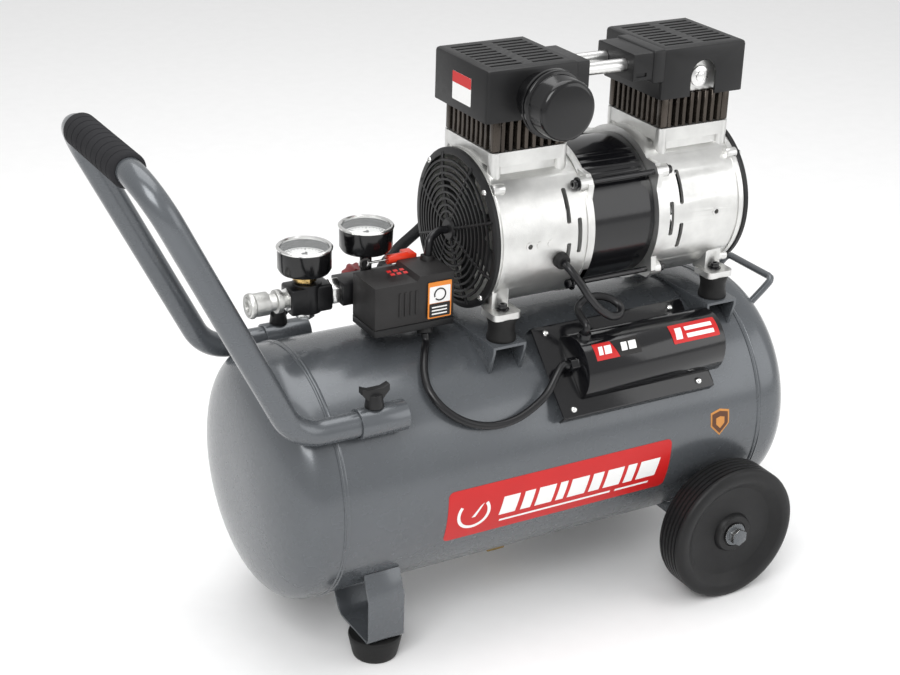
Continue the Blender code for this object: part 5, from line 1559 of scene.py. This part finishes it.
    def grille(self) -> list[bpy.types.Object]:
        """The guard's rim, rings, spokes and hub.

        Returns:
            Its parts, the rim first.
        """
        sign = self.side.value
        seat, z = self.at(self.case_end + SEAT), AT.motor_z
        origin, axis = (seat, 0, z), (sign, 0, 0)
        rim = [(0.0745, 0.0), (0.0808, 0.0), (self.rim_r, 0.0008), (self.rim_r, 0.0045), (0.0800, 0.0058),
               (0.0745, 0.0062)]
        parts = [Bench.lathe(f"grille_{self.side.end_name()}", rim, origin, axis, 120, True)]
        for k in range(1, self.rings + 1):
            r = self.ring_start + (self.ring_end - self.ring_start) * k / (self.rings + 1)
            rise = self.dome(r)
            section = [(r - 0.0011, rise - 0.0014), (r + 0.0011, rise - 0.0014), (r + 0.0011, rise + 0.0010),
                       (r - 0.0011, rise + 0.0010)]
            parts.append(Bench.lathe("ring", section, origin, axis, 96, True))
        for k in range(self.spokes):
            angle = FULL_TURN * (k + 0.5) / self.spokes
            route = []
            for step in range(self.spoke_steps + 1):
                r = self.spoke_start + (self.screw_circle - self.spoke_start) * step / self.spoke_steps
                rise = self.dome(r) - 0.0006
                route.append((seat + sign * rise, r * cos(angle), z + r * sin(angle)))
            parts.append(Bench.tube("spoke", route, 0.0017, 10))
        hub = [(0.0, 0.0085), (0.0115, 0.0085), (0.0125, 0.0125), (0.0100, 0.0147), (0.0, 0.0148)]
        return parts + [Bench.lathe("hub", hub, origin, axis, 48)]

    def guard(self) -> None:
        """The moulded fan guard with its four screws, and the fan behind it."""
        word, sign = self.side.end_name(), self.side.value
        fit(Bench.join(f"grille_{word}", self.grille()), MOULDED, replaces=[f"fan_guard_{word}"])
        seat = self.at(self.case_end + SEAT) + sign * 0.0058
        screws = [((seat, *AT.round_motor(1, self.screw_circle, a)), (sign, 0, 0))
                  for a in (pi / 4, 3 * pi / 4, 5 * pi / 4, 7 * pi / 4)]
        fit(self.hardware.pan_screws(f"grille_screws_{word}", screws, 0.85), BRIGHT)
        fit(Bench.refined(f"impeller_{word}", f"fan_{word}", 0.0004), MOULDED, Body.ROTOR, [f"fan_{word}"])

    def build(self) -> None:
        """This end of the motor."""
        self.housing()
        self.fixings()
        self.cylinder()
        self.guard()


@dataclass(frozen=True)
class Can:
    """The black motor can with its pressed ridges, and the rotor inside."""

    radius: float = 0.0736
    half: float = 0.0382
    inner: float = 0.0378
    ridges: int = 5
    ridge_start: float = 40
    ridge_pitch: float = 6.5
    bolt_half: float = 0.0386
    bolt_r: float = 0.0029

    def shell(self) -> None:
        """The can and its ridges."""
        profile = [(self.inner, -self.half), (self.radius, -self.half), (self.radius, self.half),
                   (self.inner, self.half)]
        can = Bench.lathe("can", profile, (AT.motor_x, 0, AT.motor_z), (1, 0, 0), 144, closed=True)
        ridges = []
        for k in range(self.ridges):
            angle = radians(self.ridge_start + self.ridge_pitch * k)
            out = Vector((0, -cos(angle), sin(angle)))
            middle = Vector((AT.motor_x, 0, AT.motor_z)) + out * (self.radius - 0.0004)
            ridge = Bench.block("ridge", (-0.034, -0.0022, -0.001), (0.034, 0.0022, 0.0010), 0.0006)
            ridge.data.transform(Matrix.Translation(middle) @ Matrix.Rotation(pi / 2 - angle, 4, "X"))
            ridges.append(ridge)
        fit(Bench.join("can", [can] + ridges), ENAMEL, replaces=["stator"])

    def bolts(self) -> None:
        """The four through-bolts between the castings."""
        bolts = []
        for sign in (-1, 1):
            for angle in (AT.bolt_angle, -AT.bolt_angle):
                place = AT.round_motor(sign, AT.bolt_circle, angle)
                bolts.append(Bench.rod("bolt", (AT.motor_x - self.bolt_half, *place),
                                       (AT.motor_x + self.bolt_half, *place), self.bolt_r, sides=24))
        fit(Bench.join("through_bolts", bolts), ENAMEL)

    def build(self) -> None:
        """The can, the through-bolts, the cable's grommet and the rotor."""
        self.shell()
        self.bolts()
        ends = [(AT.grommet_x, *AT.round_motor(-1, reach, AT.grommet_angle)) for reach in (0.0790, 0.0885)]
        fit(Bench.rod("cable_grommet", ends[0], ends[1], 0.0088, 0.0078, edge=0.0018), RUBBER)
        fit(Bench.refined("rotor_bar", "rotor_shaft", 0.0004), BRIGHT, Body.ROTOR, ["rotor_shaft"])


@dataclass(frozen=True)
class HeadCover:
    """A moulded cover over one cylinder head, with slots in its top."""

    side: Side
    half_x: float = 0.0515
    boss_r: float = 0.0108
    boss_screw_r: float = 0.0052
    sticker_y: tuple[float, float] = (-0.022, 0.014)
    sticker_z: tuple[float, float, float] = (0.539, 0.556, 0.567)

    def build(self) -> None:
        """The cover, and the sticker or the window that it carries."""
        word = self.side.end_name()
        piece = Bench.refined(f"shroud_{word}", f"head_cover_{word}", 0.0022, 3)
        if self.side is Side.PLUS:
            piece = self.flanged(piece)
        fit(piece, MOULDED, replaces=[f"head_cover_{word}"])
        if self.side is Side.MINUS:
            self.sticker()
        else:
            self.window()

    def flanged(self, piece: bpy.types.Object) -> bpy.types.Object:
        """Adds the flange that takes the transfer pipes, and cuts the slot in the front.

        Args:
            piece: the cover.

        Returns:
            The cover with its flange.
        """
        face = AT.motor_x + AT.cover_reach - self.half_x
        flange = Bench.block("flange", (face - 0.011, -0.0520, 0.5480), (face + 0.004, 0.0165, 0.5818),
                             0.0025, 3)
        slot = Bench.block("slot", (face - 0.030, -0.060, 0.5560), (face - 0.018, -0.0485, 0.5600))
        Bench.boolean(piece, [slot], "DIFFERENCE")
        return Bench.join(piece.name, [piece, flange])

    def sticker(self) -> None:
        """The printed panel on the handle-end face: a red band over a white one."""
        x = AT.motor_x - AT.cover_reach - self.half_x
        left, right = self.sticker_y
        bottom, band, top = self.sticker_z
        for name, low, lift, finish in (("sticker_white", bottom, 0.0002, FILM_WHITE),
                                        ("sticker_red", band, 0.0004, FILM_RED)):
            panel = rounded((left, low), (right, top), 0.0012)
            fit(Bench.prism(name, panel, "X", x - lift, x - lift - 0.0001), finish)

    def window(self) -> None:
        """The round boss and its screw on the bright head behind the window."""
        x, z = AT.motor_x + AT.cover_reach, AT.cover_z + 0.018
        boss = Bench.rod("head_boss", (x, -0.0425, z), (x, -0.0465, z), self.boss_r, edge=0.0008)
        screw = Bench.rod("boss_screw", (x, -0.0460, z), (x, -0.0478, z), self.boss_screw_r, edge=0.0006)
        fit(Bench.join("head_boss", [boss, screw]), BRIGHT)


@dataclass(frozen=True)
class Intake:
    """The round inlet filter on the front of the handle-end cover."""

    x: float = -0.0080
    y: float = -0.0523
    z: float = 0.552

    def build(self) -> None:
        """The filter cup, its double flange ring and its neck."""
        profile = [(0.0, 0.0004), (0.0235, 0.0004), (0.0235, 0.0215), (0.0325, 0.0240), (0.0338, 0.0252),
                   (0.0338, 0.0275), (0.0318, 0.0282), (0.0318, 0.0298), (0.0336, 0.0306), (0.0336, 0.0328),
                   (0.0325, 0.0338), (0.0304, 0.0342), (0.0300, 0.0350), (0.0300, 0.0520), (0.0292, 0.0553),
                   (0.0270, 0.0573), (0.0245, 0.0577), (0.0, 0.0577)]
        fit(Bench.lathe("intake_cup", profile, (self.x, self.y, self.z), (0, -1, 0), 112), GLOSSY,
            replaces=["air_filter"])


# ---------------------------------------------------------------- air line


@dataclass(frozen=True)
class Gauge:
    """A pressure gauge lying on its back, with a printed dial, a needle and a lens."""

    name: str
    sweep_marks: int = 26
    marks_per_number: int = 5
    sweep: float = 270
    sweep_start: float = 225
    dial_drop: float = 0.0112
    bezel_width: float = 0.0042

    def case(self) -> None:
        """The black case and the bright bezel round its mouth."""
        base, r, tall = self.stand()
        body = [(0.0, 0.0), (0.016, 0.0), (r - 0.0035, 0.0025), (r - 0.0012, 0.0065),
                (r - 0.0010, tall - 0.0030), (r - 0.0030, tall - 0.0030), (r - 0.0036, tall - 0.0120),
                (0.0, tall - 0.0120)]
        fit(Bench.lathe(f"case_{self.name}", body, base, (0, 0, 1), 96), GLOSSY,
            replaces=[f"gauge_{self.name}"])
        ring = [(r - 0.0036, tall - 0.0029), (r - 0.0004, tall - 0.0029), (r, tall - 0.0024),
                (r, tall - 0.0012), (r - 0.0010, tall - 0.0003), (r - 0.0026, tall),
                (r - 0.0038, tall - 0.0012)]
        fit(Bench.lathe(f"bezel_{self.name}", ring, base, (0, 0, 1), 96, True), BRIGHT)

    def stand(self) -> tuple[tuple[float, float, float], float, float]:
        """Where the gauge stands.

        Returns:
            The middle of its underside, its radius and its height.
        """
        low, high = span(f"gauge_{self.name}")
        base = ((low.x + high.x) / 2, (low.y + high.y) / 2, low.z)
        return base, (high.x - low.x) / 2, high.z - low.z

    def dial(self) -> None:
        """The dial's card, its graduation marks and the arc that joins them."""
        (x, y, bottom), r, tall = self.stand()
        face = tall - self.dial_drop
        fit(Bench.rod(f"dial_{self.name}", (x, y, bottom + face - 0.0007), (x, y, bottom + face - 0.0002),
                      r - self.bezel_width, sides=72), DIAL)
        under, over = bottom + face - 0.0003, bottom + face - 0.0001
        middle = Vector((x, y))
        marks = []
        for k in range(self.sweep_marks):
            angle = radians(self.sweep_start - self.sweep * k / (self.sweep_marks - 1))
            long = k % self.marks_per_number == 0
            reach, inner = r - 0.0070, r - (0.0115 if long else 0.0092)
            across = Vector((-sin(angle), cos(angle))) * (0.00042 if long else 0.00022)
            out = Vector((cos(angle), sin(angle)))
            outline = [tuple(middle + out * a + across * b)
                       for a, b in ((inner, -1), (reach, -1), (reach, 1), (inner, 1))]
            marks.append(Bench.prism("mark", outline, "Z", under, over))
        arc = arc_band((x, y), r - 0.0064, r - 0.0069, radians(self.sweep_start - self.sweep),
                       radians(self.sweep_start), 48)
        marks.append(Bench.prism("arc", arc, "Z", under, over))
        fit(Bench.join(f"marks_{self.name}", marks), PRINT)

    def build(self) -> None:
        """The case, bezel, dial, marks, lens and needle."""
        self.case()
        self.dial()
        low, high = span(f"gauge_{self.name}")
        x, y = (low.x + high.x) / 2, (low.y + high.y) / 2
        fit(Bench.rod(f"lens_{self.name}", (x, y, high.z - 0.0028), (x, y, high.z - 0.0018),
                      (high.x - low.x) / 2 - 0.0040, sides=72), LENS)
        fit(Bench.refined(f"pointer_{self.name}", f"gauge_needle_{self.name}", 0.0), PRINT,
            f"needle_{self.name}", [f"gauge_needle_{self.name}"])


@dataclass(frozen=True)
class AirLine:
    """Manifold, regulator, coupler, knob and safety valve."""

    pipe_r: float = 0.0065
    gauge_x: float = -0.218
    union_r: float = 0.0144
    stop_r: float = 0.0128
    plug_r: float = 0.0100
    boss_x: float = -0.2155
    boss_r: float = 0.0150
    gauge_hex_r: float = 0.0120

    def build(self) -> None:
        """Every piece of the air line but the gauges."""
        pieces = (("manifold_block", "manifold", 0.0007, DARK_CAST, Body.FRAME),
                  ("regulator_block", "regulator", 0.0030, DARK_CAST, Body.FRAME),
                  ("coupler_core", "quick_coupler", 0.0004, KNURLED, Body.FRAME),
                  ("coupler_ring", "coupler_sleeve", 0.0004, KNURLED, Body.SLEEVE),
                  ("red_knob", "regulator_knob", 0.0012, RED_KNOB, Body.KNOB),
                  ("valve_cap", "safety_valve", 0.0006, ORANGE, Body.FRAME),
                  ("valve_pin", "safety_pin", 0.0, BRIGHT, Body.PIN))
        for name, node, edge, finish, body in pieces:
            fit(Bench.refined(name, node, edge), finish, body, [node])
        self.pipes()
        self.hexes()

    def pipes(self) -> None:
        """The two transfer pipes between the head covers."""
        for side in Side:
            word = side.long_name()
            node = f"transfer_pipe_{word}"
            low, high = span(node)
            middle = (low + high) / 2
            pipe = Bench.rod(f"crossover_{word}", (low.x, middle.y, middle.z), (high.x, middle.y, middle.z),
                             self.pipe_r, sides=56)
            fit(pipe, PIPE, replaces=[node])

    def hexes(self) -> None:
        """The union, stop and plug of the line, the regulator's round boss and the gauge's hexagon."""
        y, z = AT.line_y, AT.line_z
        hexes = [Bench.rod("union", (-0.1930, y, z), (-0.1822, y, z), self.union_r, sides=6, edge=0.0008),
                 Bench.rod("stop", (-0.2384, y, z), (-0.2335, y, z), self.stop_r, sides=6, edge=0.0008),
                 Bench.rod("plug", (self.gauge_x, y, z - 0.0215), (self.gauge_x, y, z - 0.0142), self.plug_r,
                           sides=6, edge=0.0008)]
        fit(Bench.join("line_hexes", hexes), BRIGHT)
        fit(Bench.rod("regulator_boss", (self.boss_x, y, z - 0.0150), (self.boss_x, y, z + 0.0160),
                      self.boss_r, sides=48, edge=0.0015), DARK_CAST)
        fit(Bench.rod("gauge_hex", (self.gauge_x, y, 0.3690), (self.gauge_x, y, 0.3766), self.gauge_hex_r,
                      sides=6, edge=0.0006), BRASS)


@dataclass(frozen=True)
class PressureSwitch:
    """The pressure switch box with its printed panel."""

    stripe_x: float = -0.152
    stripe_width: float = 0.0045
    stripe_pitch: float = 0.007

    def build(self) -> None:
        """The case, its base and its label."""
        fit(Bench.refined("switch_case", "switch_cover", 0.0016, 3), CHARCOAL, replaces=["switch_cover"])
        fit(Bench.refined("switch_foot", "switch_base", 0.0010), MOULDED, replaces=["switch_base"])
        low, high = span("switch_cover")
        y = low.y - 0.0001
        right = high.x - 0.004
        layers = (("panel_border", right - 0.026, right, low.z + 0.003, high.z - 0.013, FILM_ORANGE),
                  ("panel_white", right - 0.0245, right - 0.0015, low.z + 0.019, high.z - 0.0175, FILM_WHITE),
                  ("panel_black", right - 0.0245, right - 0.0015, low.z + 0.0045, low.z + 0.0185, FILM_BLACK))
        for step, (name, x0, x1, z0, z1, finish) in enumerate(layers):
            front = y - 0.0012 - 0.0002 * step
            fit(Bench.prism(name, rounded((x0, z0), (x1, z1), 0.001), "Y", front, y - 0.0004), finish)
        symbol = arc_band((right - 0.013, low.z + 0.0278), 0.0068, 0.0054, radians(-140), radians(200), 40)
        bars = [rounded((right - 0.022, low.z + z), (right - 0.005, low.z + z + 0.0013), 0.0005)
                for z in (0.0070, 0.0105, 0.0140)]
        fit(Bench.prism("panel_symbol", symbol, "Y", y - 0.0018, y - 0.0014), PRINT)
        strips = [Bench.prism("strip", bar, "Y", y - 0.0020, y - 0.0015) for bar in bars]
        fit(Bench.join("panel_bars", strips), FILM_WHITE)
        top = high.z - 0.0050
        stripes = []
        for k in range(3):
            left = self.stripe_x + self.stripe_pitch * k
            for v in (-0.032, -0.024):
                stripe = slanted(left, left + self.stripe_width, v, v + 0.005)
                stripes.append(Bench.prism("stripe", stripe, "Z", top, top + 0.0003))
        fit(Bench.join("top_stripes", stripes), FILM_RED)


@dataclass(frozen=True)
class CapacitorBox:
    """The capacitor cover on its plate, with two printed panels."""

    hardware: Hardware
    radius: float = 0.034
    rise: float = 0.0103
    panel_angle: float = radians(46)
    screw_x: tuple[float, float] = (0.006, 0.160)
    screw_along: float = 0.042

    def build(self) -> None:
        """The plate, cover, screws and panels."""
        fit(Bench.refined("box_plate", "capacitor_plate", 0.0008), ENAMEL, replaces=["capacitor_plate"])
        fit(Bench.refined("box_cover", "capacitor_cover", 0.0010), ENAMEL, replaces=["capacitor_cover"])
        screws = [(AT.slope_point(x, 0.0083, along), (0, -cos(AT.slope), sin(AT.slope)))
                  for along in (self.screw_along, -self.screw_along) for x in self.screw_x]
        fit(self.hardware.pan_screws("box_screws", screws, 0.95), BRIGHT)
        middle = AT.slope_point(0, self.rise, 0)
        skin = Skin(middle.y, middle.z, self.radius, self.panel_angle)
        grey = [(0.058, -0.009), (0.084, -0.009), (0.084, 0.009), (0.052, 0.009)]
        red = [(0.030, -0.009), (0.0575, -0.009), (0.0515, 0.009), (0.030, 0.009)]
        other = [rounded((0.124, -0.009), (0.182, 0.012), 0.0015)]
        fit(skin.film("box_panel_red", [red] + other, FIRST_LAYER, FILM), FILM_RED)
        fit(skin.film("box_panel_grey", [grey], FIRST_LAYER, FILM), FILM_BLACK)
        marks = [slanted(0.034, 0.039, -0.004, 0.005), slanted(0.041, 0.049, -0.004, 0.005)]
        marks += [slanted(0.061, 0.068, -0.004, 0.005), slanted(0.070, 0.079, -0.004, 0.005)]
        marks += [rounded((0.142, v), (0.176, v + 0.0045), 0.0005) for v in (-0.005, 0.003)]
        marks += [slanted(0.128, 0.136, -0.005, 0.0075)]
        fit(skin.film("box_panel_marks", marks, SECOND_LAYER, FILM), FILM_WHITE)


# ---------------------------------------------------------------- the whole machine


def write_size() -> None:
    """Works out the dressed machine's box and pairs it with the frame's box, each as its low and high
    corners.
    """
    low, high = Vector((9.0, 9.0, 9.0)), Vector((-9.0, -9.0, -9.0))
    bpy.context.view_layer.update()
    for piece in bpy.context.scene.objects:
        if piece.type not in ("MESH", "CURVE") or piece.name == "floor" or piece.hide_render:
            continue
        for corner in piece.bound_box:
            place = piece.matrix_world @ Vector(corner)
            low = Vector(map(min, low, place))
            high = Vector(map(max, high, place))
    {"cad": CAD_BOX, "visual": [list(low), list(high)]}


def main() -> None:
    """Dresses the whole compressor."""
    logging.basicConfig(level=logging.INFO, format="%(message)s")
    Studio().build()
    for lead in leads():
        lead.build()
    hardware = Hardware()
    Tank().build()
    for side in Side:
        Wheel(side).build()
        MotorEnd(side, hardware).build()
        HeadCover(side).build()
    PullHandle().build()
    Can().build()
    Intake().build()
    for name in ("outlet", "tank"):
        Gauge(name).build()
    AirLine().build()
    PressureSwitch().build()
    CapacitorBox(hardware).build()
    hardware.put_away()
    write_size()


if __name__ == "__main__":
    main()
